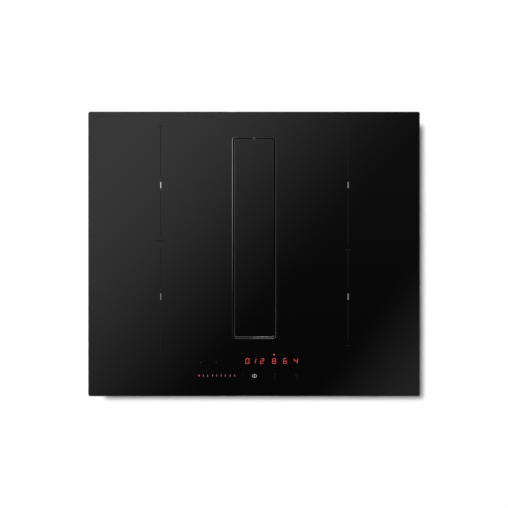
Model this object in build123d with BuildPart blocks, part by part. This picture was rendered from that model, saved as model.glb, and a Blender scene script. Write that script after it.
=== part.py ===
from build123d import *
import os

os.makedirs("parts", exist_ok=True)

# A 60 cm downdraft induction cooktop. Millimetres, +Z up, +X to the right of someone standing in front of it,
# +Y to the rear. The origin is at the bottom centre of the bounding box.

# ---- Driving dimensions -------------------------------------------------------------------------------

# Glass plate
GLASS_WIDTH = 600
GLASS_DEPTH = 515
GLASS_THICKNESS = 4
GLASS_CORNER = 4
GLASS_BEVEL = 1.2
TOTAL_HEIGHT = 210
GLASS_UNDERSIDE = TOTAL_HEIGHT - GLASS_THICKNESS

# Suction slot and the flap that closes it
SLOT_WIDTH = 76
SLOT_LENGTH = 363
SLOT_Y = 29
SLOT_CORNER = 4.5
SLOT_CHAMFER = 1.5
FLAP_GAP = 2
FLAP_WIDTH = SLOT_WIDTH - 2 * FLAP_GAP
FLAP_LENGTH = SLOT_LENGTH - 2 * FLAP_GAP
FLAP_CORNER = 3.5
FLAP_CHAMFER = 1
PIVOT_Z = 203
PIN_RADIUS = 1.25
RUNNING_GAP = 0.05
SLOT_CENTER = (0, SLOT_Y)

# Steel casing under the glass, sized for a 560 x 490 worktop cut-out
CASING_WIDTH = 552
CASING_DEPTH = 480
CASING_FLOOR = 140
SHEET = 1
SUPPORT_FLANGE = 2
CASING_TOP = GLASS_UNDERSIDE - SUPPORT_FLANGE
CASING_INNER_X = CASING_WIDTH / 2 - SHEET
CASING_INNER_Y = CASING_DEPTH / 2 - SHEET
SCREW_RADIUS = 1.6
SCREW_HOLE = 1.75

# Suction chute
CHUTE_WALL = 2
CHUTE_WIDTH = 82
CHUTE_LENGTH = 369
CHUTE_CORNER = 7
LEDGE_TOP = 149.8
LEDGE_BOTTOM = 146
LEDGE_WIDTH = 6

# Plenum housing under the casing
PLENUM_LEFT = -62
PLENUM_RIGHT = 268
PLENUM_DEPTH = 436
PLENUM_WALL = 2.5
PLENUM_SPLIT = 64
PLENUM_TOP = 132
PLENUM_CORNER = 4
LIP_WIDTH = 8
LIP_THICKNESS = 2.5
PLENUM_WIDTH = PLENUM_RIGHT - PLENUM_LEFT
PLENUM_X = (PLENUM_RIGHT + PLENUM_LEFT) / 2
PLENUM_CENTER = (PLENUM_X, 0)
PLENUM_BACK = PLENUM_DEPTH / 2
LID_UNDERSIDE = PLENUM_TOP - PLENUM_WALL

# Flat-duct outlet at the rear, for 222 x 89 duct
DUCT_WIDTH = 222
DUCT_HEIGHT = 89
DUCT_WALL = 2
DUCT_X = 150
DUCT_Z = 80.5
DUCT_END = 244
COLLAR_PLATE = 3
COLLAR_PLATE_WIDTH = 240
COLLAR_PLATE_HEIGHT = 103
COLLAR_SCREW_X = 230
COLLAR_SCREW_Z = 94
COLLAR_ROUNDING = 3

# Blower
FAN_X = 160
FAN_Y = -50
FAN_CENTER = (FAN_X, FAN_Y)
IMPELLER_RADIUS = 66
IMPELLER_BOTTOM = 62
IMPELLER_TOP = 116
BLADE_COUNT = 32
SCROLL_BOTTOM = 56
SCROLL_SPLIT = 90
SCROLL_TOP = 122
SCROLL_WALL = 2
EYE_RADIUS = 48
ROTOR_RADIUS = 29.5
SHAFT_RADIUS = 3
THROAT_LEFT = 195
THROAT_RIGHT = 261
THROAT_Y = 30

# Drip tray, drawn out to the front
TRAY_LEFT = -52
TRAY_RIGHT = 40
TRAY_BACK = 206
TRAY_TOP = 36
TRAY_WALL = 2
TRAY_CLEARANCE = 0.3

# Odour filters standing in a wall between the drip zone and the blower
PARTITION_X = 72
PARTITION_WALL = 2
PARTITION_BACK = 170
FILTER_THICKNESS = 23.5
FILTER_LENGTH = 154
FILTER_BOTTOM = 45.3
FILTER_TOP = 122
FILTER_RIM = 3
FILTER_CLEARANCE = 0.3
FILTER_FRONT_Y = -73
FILTER_REAR_Y = 83

# Induction coils: centre and outline of each
COIL_BOTTOM = 198
COIL_TOP = 203
COIL_X = 163
COIL_SIZES = {
    "left_rear": (-COIL_X, 125, 196, 186),
    "left_front": (-COIL_X, -78, 196, 186),
    "right_rear": (COIL_X, 120, 196, 198),
    "right_front": (COIL_X, -79, 196, 160),
}
COIL_CORNER = 30
COIL_HOLE = (56, 46)
COIL_HOLE_CORNER = 14
CARRIER_Z = 190
CARRIER_SHEET = 1.5
FERRITE_HEIGHT = 4

# Power electronics and their cooling fans
BOARD_Z = 150
BOARD_THICKNESS = 1.6
BOARD_X = 162.5
BOARD_WIDTH = 185
BOARD_FRONT = -135
BOARD_BACK = 230
COOLER_X = 225
COOLER_Y = -188
COOLER_SIZE = 80
COOLER_HEIGHT = 25
COOLER_BORE = 37

# Touch controls along the front edge
CONTROL_FRONT = -232
CONTROL_BACK = -178
CONTROL_LEFT = -112
CONTROL_RIGHT = 92
CONTROL_Z = 196
DIGIT_ROW_Y = -194
SLIDER_ROW_Y = -220
DIGIT_BLOCKS = [(0, 42), (36, 13), (55, 13), (76, 13)]
TOUCH_ROW = [0, 37, 78]
TOUCH_UPPER_ROW = [-97, -70]
RIBBON_X = -75
RIBBON_Y = -201

# Mains terminal box under the left of the casing
TERMINAL_X = -185
TERMINAL_Y = 192
TERMINAL_WIDTH = 90
TERMINAL_DEPTH = 84
TERMINAL_BOTTOM = 108
TERMINAL_WALL = 2
HINGE_Y = TERMINAL_Y + TERMINAL_DEPTH / 2 + 3.3
HINGE_Z = 106
HINGE_PIN = 1.5
GLAND_Z = 122
GLAND_BORE = 5.5
GLAND_RADIUS = 9
GLAND_THREAD = 7
GLAND_Y = 200


# ---- Shapes used again and again ----------------------------------------------------------------------


def block(x_span, y_span, z_span, mode=Mode.ADD):
    """A box between two values on each axis."""
    middle = [sum(span) / 2 for span in (x_span, y_span, z_span)]
    with Locations(tuple(middle)):
        Box(x_span[1] - x_span[0], y_span[1] - y_span[0], z_span[1] - z_span[0], mode=mode)


def plate(width, depth, z_span, center=(0, 0), corner=0, mode=Mode.ADD):
    """An upright prism with a rectangular outline, its corners rounded where a radius is given."""
    with BuildSketch(Plane.XY.offset(z_span[0])) as outline:
        with Locations(center):
            if corner:
                RectangleRounded(width, depth, corner)
            else:
                Rectangle(width, depth)
    extrude(outline.sketch, amount=z_span[1] - z_span[0], mode=mode)


def disc(radius, z_span, centers=((0, 0),), mode=Mode.ADD):
    """Round upright pillars of one radius at the given centres."""
    with BuildSketch(Plane.XY.offset(z_span[0])) as outline:
        with Locations(*centers):
            Circle(radius)
    extrude(outline.sketch, amount=z_span[1] - z_span[0], mode=mode)


def vents(length, width, z_span, center, rows, mode=Mode.SUBTRACT):
    """A row of obround slots lying along X, one behind the other."""
    with BuildSketch(Plane.XY.offset(z_span[0])) as outline:
        with Locations(center):
            with GridLocations(0, 2.2 * width, 1, rows):
                SlotOverall(length, width)
    extrude(outline.sketch, amount=z_span[1] - z_span[0], mode=mode)


def rod_x(radius, x_span, y, z, mode=Mode.ADD):
    """A round bar lying along X."""
    with BuildSketch(Plane.YZ.offset(x_span[0])) as outline:
        with Locations((y, z)):
            Circle(radius)
    extrude(outline.sketch, amount=x_span[1] - x_span[0], mode=mode)


def rod_y(radius, y_span, x, z, mode=Mode.ADD):
    """A round bar lying along Y."""
    with BuildSketch(Plane.XZ.offset(-y_span[0])) as outline:
        with Locations((x, z)):
            Circle(radius)
    extrude(outline.sketch, amount=y_span[0] - y_span[1], mode=mode)


def save(piece, name):
    """Label a finished piece and write it."""
    piece.part.label = name
    export_step(piece.part, f"parts/{name}.step")


# ---- Top: glass, gasket, support frame, slot trim -----------------------------------------------------

GLASS_SPAN = (GLASS_UNDERSIDE, TOTAL_HEIGHT)
with BuildPart() as glass_top:
    plate(GLASS_WIDTH, GLASS_DEPTH, GLASS_SPAN, corner=GLASS_CORNER)
    rim_edges = glass_top.faces().sort_by(Axis.Z)[-1].edges()
    chamfer(rim_edges, GLASS_BEVEL)
    plate(SLOT_WIDTH, SLOT_LENGTH, GLASS_SPAN, SLOT_CENTER, SLOT_CORNER, Mode.SUBTRACT)
    slot_edges = glass_top.faces().sort_by(Axis.Z)[-1].inner_wires()[0].edges()
    chamfer(slot_edges, SLOT_CHAMFER)
save(glass_top, "glass_top")

GASKET_INSET = 2
GASKET_WIDTH = 8
GASKET_OUTER = (GLASS_WIDTH - 2 * GASKET_INSET, GLASS_DEPTH - 2 * GASKET_INSET)
GASKET_INNER = (GASKET_OUTER[0] - 2 * GASKET_WIDTH, GASKET_OUTER[1] - 2 * GASKET_WIDTH)
UNDER_GLASS_SPAN = (CASING_TOP, GLASS_UNDERSIDE)
with BuildPart() as perimeter_gasket:
    plate(*GASKET_OUTER, UNDER_GLASS_SPAN, corner=GLASS_CORNER)
    plate(*GASKET_INNER, UNDER_GLASS_SPAN, corner=GLASS_CORNER - 1, mode=Mode.SUBTRACT)
save(perimeter_gasket, "perimeter_gasket")

# Screws run through the casing wall into the leg of the support frame.
SIDE_SCREWS_Y = (-200, -70, 70, 200)
END_SCREWS_X = (-200, 200)
CASING_SCREW_Z = 196
FRAME_OPENING = (532, 456)
FRAME_LEG = 1.2
FRAME_LEG_GAP = 0.2
FRAME_LEG_SPAN = (188, CASING_TOP)
FRAME_LEG_OUTER = (2 * (CASING_INNER_X - FRAME_LEG_GAP), 2 * (CASING_INNER_Y - FRAME_LEG_GAP))
FRAME_LEG_INNER = (FRAME_LEG_OUTER[0] - 2 * FRAME_LEG, FRAME_LEG_OUTER[1] - 2 * FRAME_LEG)
CASING_CORNER = 3


def casing_screw_holes():
    """Clearance holes through both side walls and both end walls."""
    for y in SIDE_SCREWS_Y:
        rod_x(SCREW_HOLE, (-CASING_WIDTH / 2 - 1, CASING_WIDTH / 2 + 1), y, CASING_SCREW_Z, Mode.SUBTRACT)
    for x in END_SCREWS_X:
        rod_y(SCREW_HOLE, (-CASING_DEPTH / 2 - 1, CASING_DEPTH / 2 + 1), x, CASING_SCREW_Z, Mode.SUBTRACT)


with BuildPart() as support_frame:
    plate(CASING_WIDTH, CASING_DEPTH, UNDER_GLASS_SPAN, corner=CASING_CORNER)
    plate(*FRAME_OPENING, UNDER_GLASS_SPAN, corner=CASING_CORNER, mode=Mode.SUBTRACT)
    plate(*FRAME_LEG_OUTER, FRAME_LEG_SPAN, corner=CASING_CORNER - SHEET)
    plate(*FRAME_LEG_INNER, FRAME_LEG_SPAN, corner=CASING_CORNER - 2 * SHEET, mode=Mode.SUBTRACT)
    casing_screw_holes()
save(support_frame, "support_frame")

# The trim's neck lines the slot just under the glass and drops inside the chute.
TRIM_NECK = 0.5
TRIM_FLANGE = 10
TRIM_BOTTOM = 192
TRIM_INNER = (SLOT_WIDTH + 1, SLOT_LENGTH + 1)
TRIM_OUTER = (TRIM_INNER[0] + 2 * TRIM_NECK, TRIM_INNER[1] + 2 * TRIM_NECK)
TRIM_CORNER = SLOT_CORNER + TRIM_NECK
with BuildPart() as slot_trim:
    flange_size = (SLOT_WIDTH + 2 * TRIM_FLANGE, SLOT_LENGTH + 2 * TRIM_FLANGE)
    plate(*flange_size, UNDER_GLASS_SPAN, SLOT_CENTER, 2 * SLOT_CORNER)
    plate(*TRIM_OUTER, (TRIM_BOTTOM, CASING_TOP), SLOT_CENTER, TRIM_CORNER + TRIM_NECK)
    plate(*TRIM_INNER, (TRIM_BOTTOM, GLASS_UNDERSIDE), SLOT_CENTER, TRIM_CORNER, Mode.SUBTRACT)
save(slot_trim, "slot_trim")

# ---- Flap: a glass leaf on a carrier that pivots about its long centre line ---------------------------

with BuildPart() as flap_glass:
    plate(FLAP_WIDTH, FLAP_LENGTH, GLASS_SPAN, SLOT_CENTER, FLAP_CORNER)
    chamfer(flap_glass.faces().sort_by(Axis.Z)[-1].edges(), FLAP_CHAMFER)
save(flap_glass, "flap_glass")

# A stiffened plate bonded under the flap's glass. Its spine takes a pivot pin at each end.
FLAP_PLATE = (62, 352)
FLAP_PLATE_BOTTOM = 203.5
SPINE = (10, 357)
SPINE_BOTTOM = 200.5
RIB = (3, 346)
RIB_X = 27
PIN_INNER = 166
PIN_OUTER = 181
with BuildPart() as flap_carrier:
    plate(*FLAP_PLATE, (FLAP_PLATE_BOTTOM, GLASS_UNDERSIDE), SLOT_CENTER, FLAP_CORNER)
    plate(*SPINE, (SPINE_BOTTOM, GLASS_UNDERSIDE), SLOT_CENTER)
    for side in (-1, 1):
        plate(*RIB, (SPINE_BOTTOM, FLAP_PLATE_BOTTOM), (side * RIB_X, SLOT_Y))
        pin_span = sorted((SLOT_Y + side * PIN_INNER, SLOT_Y + side * PIN_OUTER))
        rod_y(PIN_RADIUS, pin_span, 0, PIVOT_Z, Mode.SUBTRACT)
save(flap_carrier, "flap_carrier")

with BuildPart() as flap_pivot_pins:
    for side in (-1, 1):
        pin_span = sorted((SLOT_Y + side * PIN_INNER, SLOT_Y + side * PIN_OUTER))
        rod_y(PIN_RADIUS, pin_span, 0, PIVOT_Z)
save(flap_pivot_pins, "flap_pivot_pins")

# ---- Lift-out cassette: a low tray with an upright ear at each end that holds a pivot pin --------------

CASSETTE_BOTTOM = 150
BAND_WIDTH = 72
BAND_LENGTH = 358
BAND_WALL = 1.2
BAND_TOP = 165
EAR_INNER = 180
EAR_OUTER = 181.2
EAR_TOP_RADIUS = 3.25
EAR_FOOT = 7
BAND_CORNER = 4
BAND_INNER = (BAND_WIDTH - 2 * BAND_WALL, BAND_LENGTH - 2 * BAND_WALL)
BAND_FLANGE = 5
BAND_OPENING = (BAND_WIDTH - 2 * BAND_FLANGE, BAND_LENGTH - 2 * BAND_FLANGE)
FILTER_SEAT = CASSETTE_BOTTOM + BAND_WALL
with BuildPart() as cassette_frame:
    plate(BAND_WIDTH, BAND_LENGTH, (CASSETTE_BOTTOM, BAND_TOP), SLOT_CENTER, BAND_CORNER)
    plate(*BAND_INNER, (FILTER_SEAT, BAND_TOP), SLOT_CENTER, BAND_CORNER - BAND_WALL, Mode.SUBTRACT)
    plate(*BAND_OPENING, (CASSETTE_BOTTOM, BAND_TOP), SLOT_CENTER, BAND_CORNER, Mode.SUBTRACT)
    for side in (-1, 1):
        foot_span = sorted((SLOT_Y + side * (BAND_LENGTH / 2 - BAND_WALL), SLOT_Y + side * EAR_OUTER))
        block((-EAR_FOOT, EAR_FOOT), foot_span, (CASSETTE_BOTTOM, FILTER_SEAT))
        ear_span = sorted((SLOT_Y + side * EAR_INNER, SLOT_Y + side * EAR_OUTER))
        with BuildSketch(Plane.XZ.offset(-ear_span[0])):
            with BuildLine():
                Polyline(
                    (EAR_TOP_RADIUS, PIVOT_Z),
                    (EAR_FOOT, CASSETTE_BOTTOM),
                    (-EAR_FOOT, CASSETTE_BOTTOM),
                    (-EAR_TOP_RADIUS, PIVOT_Z),
                )
                ThreePointArc(
                    (-EAR_TOP_RADIUS, PIVOT_Z),
                    (0, PIVOT_Z + EAR_TOP_RADIUS),
                    (EAR_TOP_RADIUS, PIVOT_Z),
                )
            make_face()
        extrude(amount=ear_span[0] - ear_span[1])
        rod_y(PIN_RADIUS + RUNNING_GAP, (ear_span[0] - 1, ear_span[1] + 1), 0, PIVOT_Z, Mode.SUBTRACT)
save(cassette_frame, "cassette_frame")

# A fixed strap across the filter lifts the whole cassette.
GREASE_OUTER = (69, 355)
GREASE_INNER = (63, 349)
GREASE_TOP = 163
STRAP_HALF = 32
STRAP_WALL = 2.5
STRAP_SPAN_Y = (SLOT_Y - 7, SLOT_Y + 7)
STRAP_SPAN_Z = (159, 168)
STRAP_UNDERSIDE = 166
with BuildPart() as grease_filter_frame:
    plate(*GREASE_OUTER, (FILTER_SEAT, GREASE_TOP), SLOT_CENTER, BAND_CORNER - 1)
    plate(*GREASE_INNER, (FILTER_SEAT, GREASE_TOP), SLOT_CENTER, BAND_CORNER - 2, Mode.SUBTRACT)
    block((-STRAP_HALF, STRAP_HALF), STRAP_SPAN_Y, STRAP_SPAN_Z)
    strap_inner = (STRAP_WALL - STRAP_HALF, STRAP_HALF - STRAP_WALL)
    block(strap_inner, STRAP_SPAN_Y, (STRAP_SPAN_Z[0], STRAP_UNDERSIDE), Mode.SUBTRACT)
save(grease_filter_frame, "grease_filter_frame")

MESH_COLUMNS = 5
MESH_ROWS = 20
MESH_PITCH = (12, 17.2)
MESH_BAR = 2.5
MESH_SPAN = (155, 159)
with BuildPart() as grease_filter_mesh:
    plate(*GREASE_INNER, MESH_SPAN, SLOT_CENTER, BAND_CORNER - 2)
    with BuildSketch(Plane.XY.offset(MESH_SPAN[0])):
        with Locations(SLOT_CENTER):
            with GridLocations(*MESH_PITCH, MESH_COLUMNS, MESH_ROWS):
                Rectangle(MESH_PITCH[0] - MESH_BAR, MESH_PITCH[1] - MESH_BAR)
    extrude(amount=MESH_SPAN[1] - MESH_SPAN[0], mode=Mode.SUBTRACT)
save(grease_filter_mesh, "grease_filter_mesh")

# ---- Chute from the slot down into the plenum ----------------------------------------------------------

CHUTE_SPAN = (LID_UNDERSIDE, CASING_TOP)
CHUTE_INNER = (CHUTE_WIDTH - 2 * CHUTE_WALL, CHUTE_LENGTH - 2 * CHUTE_WALL)
CHUTE_OPENING = (CHUTE_INNER[0] - 2 * LEDGE_WIDTH, CHUTE_INNER[1] - 2 * LEDGE_WIDTH)
CHUTE_RIM = 5
CHUTE_RIM_BOTTOM = 200
with BuildPart() as chute:
    plate(CHUTE_WIDTH, CHUTE_LENGTH, CHUTE_SPAN, SLOT_CENTER, CHUTE_CORNER)
    rim_size = (CHUTE_WIDTH + 2 * CHUTE_RIM, CHUTE_LENGTH + 2 * CHUTE_RIM)
    plate(*rim_size, (CHUTE_RIM_BOTTOM, CASING_TOP), SLOT_CENTER, CHUTE_CORNER)
    plate(*CHUTE_INNER, CHUTE_SPAN, SLOT_CENTER, CHUTE_CORNER - CHUTE_WALL, Mode.SUBTRACT)
    plate(CHUTE_WIDTH - CHUTE_WALL, CHUTE_LENGTH - CHUTE_WALL, (LEDGE_BOTTOM, LEDGE_TOP), SLOT_CENTER)
    plate(*CHUTE_OPENING, (LEDGE_BOTTOM, LEDGE_TOP), SLOT_CENTER, mode=Mode.SUBTRACT)
save(chute, "chute")

SEAL_WIDTH = 4
SEAL_SPAN = (PLENUM_TOP, PLENUM_TOP + 4)
with BuildPart() as chute_seal:
    seal_size = (CHUTE_WIDTH + 2 * SEAL_WIDTH, CHUTE_LENGTH + 2 * SEAL_WIDTH)
    plate(*seal_size, SEAL_SPAN, SLOT_CENTER, CHUTE_CORNER + SEAL_WIDTH)
    plate(CHUTE_WIDTH, CHUTE_LENGTH, SEAL_SPAN, SLOT_CENTER, CHUTE_CORNER, Mode.SUBTRACT)
save(chute_seal, "chute_seal")

# ---- Plenum housing -------------------------------------------------------------------------------------

PLENUM_SCREWS_Y = (-180, -60, 60, 180)
PLENUM_SCREWS_X = (-20, 120)
SIDE_SCREW_X = (PLENUM_LEFT - LIP_WIDTH / 2, PLENUM_RIGHT + LIP_WIDTH / 2)
FRONT_SCREW_Y = -PLENUM_BACK - LIP_WIDTH / 2
PLENUM_SCREW_SPOTS = [(x, y) for x in SIDE_SCREW_X for y in PLENUM_SCREWS_Y]
PLENUM_SCREW_SPOTS += [(x, FRONT_SCREW_Y) for x in PLENUM_SCREWS_X]
LIP_SPAN = (PLENUM_SPLIT - LIP_THICKNESS, PLENUM_SPLIT + LIP_THICKNESS)
COLLAR_PLATE_LEFT = DUCT_X - COLLAR_PLATE_WIDTH / 2
DUCT_INNER_X = (DUCT_X - DUCT_WIDTH / 2 + DUCT_WALL, DUCT_X + DUCT_WIDTH / 2 - DUCT_WALL)
DUCT_INNER_Z = (DUCT_Z - DUCT_HEIGHT / 2 + DUCT_WALL, DUCT_Z + DUCT_HEIGHT / 2 - DUCT_WALL)
COLLAR_SPOTS = [
    (DUCT_X + i * COLLAR_SCREW_X / 2, DUCT_Z + k * COLLAR_SCREW_Z / 2) for i in (-1, 1) for k in (-1, 1)
]


def plenum_shell(z_span, lip_span):
    """Open-ended wall with an outward lip that is left off where the outlet collar sits."""
    plate(PLENUM_WIDTH, PLENUM_DEPTH, z_span, PLENUM_CENTER, PLENUM_CORNER)
    plate(PLENUM_WIDTH + 2 * LIP_WIDTH, PLENUM_DEPTH + 2 * LIP_WIDTH, lip_span, PLENUM_CENTER, PLENUM_CORNER)
    block((COLLAR_PLATE_LEFT - 2, GLASS_WIDTH / 2), (PLENUM_BACK, GLASS_DEPTH / 2), lip_span, Mode.SUBTRACT)
    plate(
        PLENUM_WIDTH - 2 * PLENUM_WALL,
        PLENUM_DEPTH - 2 * PLENUM_WALL,
        z_span,
        PLENUM_CENTER,
        PLENUM_CORNER - PLENUM_WALL,
        Mode.SUBTRACT,
    )
    disc(SCREW_HOLE, lip_span, PLENUM_SCREW_SPOTS, Mode.SUBTRACT)
    block(DUCT_INNER_X, (PLENUM_BACK - PLENUM_WALL, PLENUM_BACK), DUCT_INNER_Z, Mode.SUBTRACT)
    for x, z in COLLAR_SPOTS:
        rod_y(SCREW_HOLE, (PLENUM_BACK - PLENUM_WALL - 1, PLENUM_BACK + 1), x, z, Mode.SUBTRACT)


RAIL_TOP = 30
RAIL_GAP = 1.5
RAIL_WIDTH = 2
TRAY_WINDOW = 1
PLENUM_INSET = 1
FLOOR_SIZE = (PLENUM_WIDTH - 2 * PLENUM_INSET, PLENUM_DEPTH - 2 * PLENUM_INSET)
with BuildPart() as plenum_base:
    plenum_shell((0, PLENUM_SPLIT), (LIP_SPAN[0], PLENUM_SPLIT))
    plate(*FLOOR_SIZE, (0, PLENUM_WALL), PLENUM_CENTER, PLENUM_CORNER - PLENUM_INSET)
    for rail_x in (TRAY_LEFT - RAIL_GAP - RAIL_WIDTH, TRAY_RIGHT + RAIL_GAP):
        rail_span_y = (-PLENUM_BACK + PLENUM_INSET, TRAY_BACK)
        block((rail_x, rail_x + RAIL_WIDTH), rail_span_y, (PLENUM_WALL / 2, RAIL_TOP))
    window_span_x = (TRAY_LEFT - TRAY_WINDOW, TRAY_RIGHT + TRAY_WINDOW)
    front_wall_span = (-PLENUM_BACK - PLENUM_INSET, -PLENUM_BACK + PLENUM_WALL)
    block(window_span_x, front_wall_span, (PLENUM_WALL, TRAY_TOP + TRAY_WINDOW), Mode.SUBTRACT)
save(plenum_base, "plenum_base")

# Four posts carry the housing under the casing's floor.
CABLE_X = FAN_X + 25
CABLE_HOLE = 4
POST_RADIUS = 5
LID_POST_SPOTS = [(x, y) for x in (-56.5, 150) for y in (-195, 195)]
CHUTE_FIT = 0.2
LID_SPAN = (LID_UNDERSIDE, PLENUM_TOP)
with BuildPart() as plenum_lid:
    plenum_shell((PLENUM_SPLIT, PLENUM_TOP), (PLENUM_SPLIT, LIP_SPAN[1]))
    plate(*FLOOR_SIZE, LID_SPAN, PLENUM_CENTER, PLENUM_CORNER - PLENUM_INSET)
    disc(POST_RADIUS, (PLENUM_TOP, CASING_FLOOR), LID_POST_SPOTS)
    disc(SCREW_HOLE, LID_SPAN, LID_POST_SPOTS, Mode.SUBTRACT)
    disc(SCREW_HOLE, (PLENUM_TOP, CASING_FLOOR), LID_POST_SPOTS, Mode.SUBTRACT)
    opening_size = (CHUTE_WIDTH + 2 * CHUTE_FIT, CHUTE_LENGTH + 2 * CHUTE_FIT)
    plate(*opening_size, LID_SPAN, SLOT_CENTER, CHUTE_CORNER, Mode.SUBTRACT)
    disc(CABLE_HOLE, LID_SPAN, ((CABLE_X, FAN_Y),), Mode.SUBTRACT)
save(plenum_lid, "plenum_lid")

TRAY_CORNER = 6
TRAY_FRONT_PANEL = 2.2
TRAY_FRONT_MARGIN = 5
TRAY_FRONT_BOTTOM = 1
GRIP_HALF = 30
GRIP_DEPTH = 12
GRIP_SPAN_Z = (TRAY_TOP - 4, TRAY_TOP - 1)
with BuildPart() as drip_tray:
    tray_x = (TRAY_RIGHT + TRAY_LEFT) / 2
    tray_floor = PLENUM_WALL + TRAY_CLEARANCE
    tray_front = -PLENUM_BACK + 1
    panel_back = -PLENUM_BACK - TRAY_CLEARANCE
    panel_front = panel_back - TRAY_FRONT_PANEL
    block((TRAY_LEFT, TRAY_RIGHT), (-PLENUM_BACK, TRAY_BACK), (tray_floor, TRAY_TOP))
    fillet(drip_tray.edges().filter_by(Axis.Z).group_by(Axis.Y)[-1], TRAY_CORNER)
    block(
        (TRAY_LEFT + TRAY_WALL, TRAY_RIGHT - TRAY_WALL),
        (tray_front, TRAY_BACK - TRAY_WALL),
        (tray_floor + TRAY_WALL, TRAY_TOP),
        Mode.SUBTRACT,
    )
    panel_span_x = (TRAY_LEFT - TRAY_FRONT_MARGIN, TRAY_RIGHT + TRAY_FRONT_MARGIN)
    block(panel_span_x, (panel_front, panel_back), (TRAY_FRONT_BOTTOM, TRAY_TOP + TRAY_FRONT_MARGIN))
    block((TRAY_LEFT, TRAY_RIGHT), (panel_front, tray_front), (tray_floor, TRAY_TOP))
    block((tray_x - GRIP_HALF, tray_x + GRIP_HALF), (panel_front - GRIP_DEPTH, panel_back), GRIP_SPAN_Z)
save(drip_tray, "drip_tray")

# ---- Odour filters and the wall that holds them --------------------------------------------------------

SHELF_MARGIN = 3
SHELF_THICKNESS = 3
SHELF_TOP = FILTER_BOTTOM - FILTER_CLEARANCE
WINDOW_LENGTH = FILTER_LENGTH - 14
WINDOW_SPAN = (FILTER_BOTTOM + 7, FILTER_TOP - 6)
FRONT_WALL_Y = -PLENUM_BACK + PLENUM_WALL
with BuildPart() as filter_partition:
    wall_span = (PARTITION_X, PARTITION_X + PARTITION_WALL)
    block(wall_span, (FRONT_WALL_Y, PARTITION_BACK), (PLENUM_WALL, LID_UNDERSIDE))
    shelf_x = (PARTITION_X - FILTER_THICKNESS - SHELF_MARGIN, PARTITION_X + PARTITION_WALL / 2)
    shelf_front = FILTER_FRONT_Y - FILTER_LENGTH / 2 - SHELF_MARGIN
    shelf_back = FILTER_REAR_Y + FILTER_LENGTH / 2 + SHELF_MARGIN
    block(shelf_x, (shelf_front, shelf_back), (SHELF_TOP - SHELF_THICKNESS, SHELF_TOP))
    for filter_y in (FILTER_FRONT_Y, FILTER_REAR_Y):
        window_span_y = (filter_y - WINDOW_LENGTH / 2, filter_y + WINDOW_LENGTH / 2)
        block(wall_span, window_span_y, WINDOW_SPAN, Mode.SUBTRACT)
save(filter_partition, "filter_partition")

FILTER_RIGHT = PARTITION_X - FILTER_CLEARANCE
FILTER_SPAN_X = (FILTER_RIGHT - FILTER_THICKNESS, FILTER_RIGHT)
CHARCOAL_INSET = 2
CELL_ROWS = 5
CELL_COLUMNS = 10
CELL_PITCH = (14.4, 13.6)
CELL_WALL = 3
TAB_HALF = 15
TAB_DEPTH = 10
TAB_THICKNESS = 3
for place, filter_y in (("front", FILTER_FRONT_Y), ("rear", FILTER_REAR_Y)):
    y_span = (filter_y - FILTER_LENGTH / 2, filter_y + FILTER_LENGTH / 2)
    inner_y = (y_span[0] + FILTER_RIM, y_span[1] - FILTER_RIM)
    inner_z = (FILTER_BOTTOM + FILTER_RIM, FILTER_TOP - FILTER_RIM)
    with BuildPart() as odour_filter_frame:
        block(FILTER_SPAN_X, y_span, (FILTER_BOTTOM, FILTER_TOP))
        block(FILTER_SPAN_X, inner_y, inner_z, Mode.SUBTRACT)
        tab_span_x = (FILTER_SPAN_X[0] - TAB_DEPTH, FILTER_SPAN_X[0] + FILTER_RIM)
        tab_span_y = (filter_y - TAB_HALF, filter_y + TAB_HALF)
        block(tab_span_x, tab_span_y, (FILTER_TOP - TAB_THICKNESS, FILTER_TOP))
    save(odour_filter_frame, f"odour_filter_frame_{place}")
    with BuildPart() as charcoal:
        charcoal_x = (FILTER_SPAN_X[0] + CHARCOAL_INSET, FILTER_SPAN_X[1] - CHARCOAL_INSET)
        block(charcoal_x, inner_y, inner_z)
        with BuildSketch(Plane.YZ.offset(charcoal_x[0])):
            with Locations((filter_y, sum(inner_z) / 2)):
                with GridLocations(*CELL_PITCH, CELL_COLUMNS, CELL_ROWS):
                    Rectangle(CELL_PITCH[0] - CELL_WALL, CELL_PITCH[1] - CELL_WALL)
        extrude(amount=charcoal_x[1] - charcoal_x[0], mode=Mode.SUBTRACT)
    save(charcoal, f"charcoal_block_{place}")

# ---- Blower ---------------------------------------------------------------------------------------------

# The scroll is three quarter arcs of growing radius whose centres step round the shaft.
ARC_STEP = 5
ARC_RADII = (76, 86, 96)
ARC_A = (FAN_X - ARC_STEP, FAN_Y - ARC_STEP)
ARC_B = (FAN_X + ARC_STEP, FAN_Y - ARC_STEP)
ARC_C = (FAN_X + ARC_STEP, FAN_Y + ARC_STEP)
TONGUE_Y = 11.8
EYE_LIP = 4
EYE_ROUNDING = 2.5
MOTOR_OPENING = 32


def scroll_profile(grow):
    """Outline of the scroll, grown outward by a wall thickness."""
    top = (ARC_A[0], ARC_A[1] + ARC_RADII[0] + grow)
    left = (ARC_A[0] - ARC_RADII[0] - grow, ARC_A[1])
    bottom = (ARC_B[0], ARC_B[1] - ARC_RADII[1] - grow)
    right = (ARC_C[0] + ARC_RADII[2] + grow, ARC_C[1])
    tongue = (THROAT_LEFT - grow, TONGUE_Y + grow)
    with BuildLine() as outline:
        RadiusArc(left, top, ARC_RADII[0] + grow)
        RadiusArc(bottom, left, ARC_RADII[1] + grow)
        RadiusArc(right, bottom, ARC_RADII[2] + grow)
        Polyline(right, (right[0], THROAT_Y), (tongue[0], THROAT_Y), tongue)
        Line(tongue, top)
    make_face(outline.edges())


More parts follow.
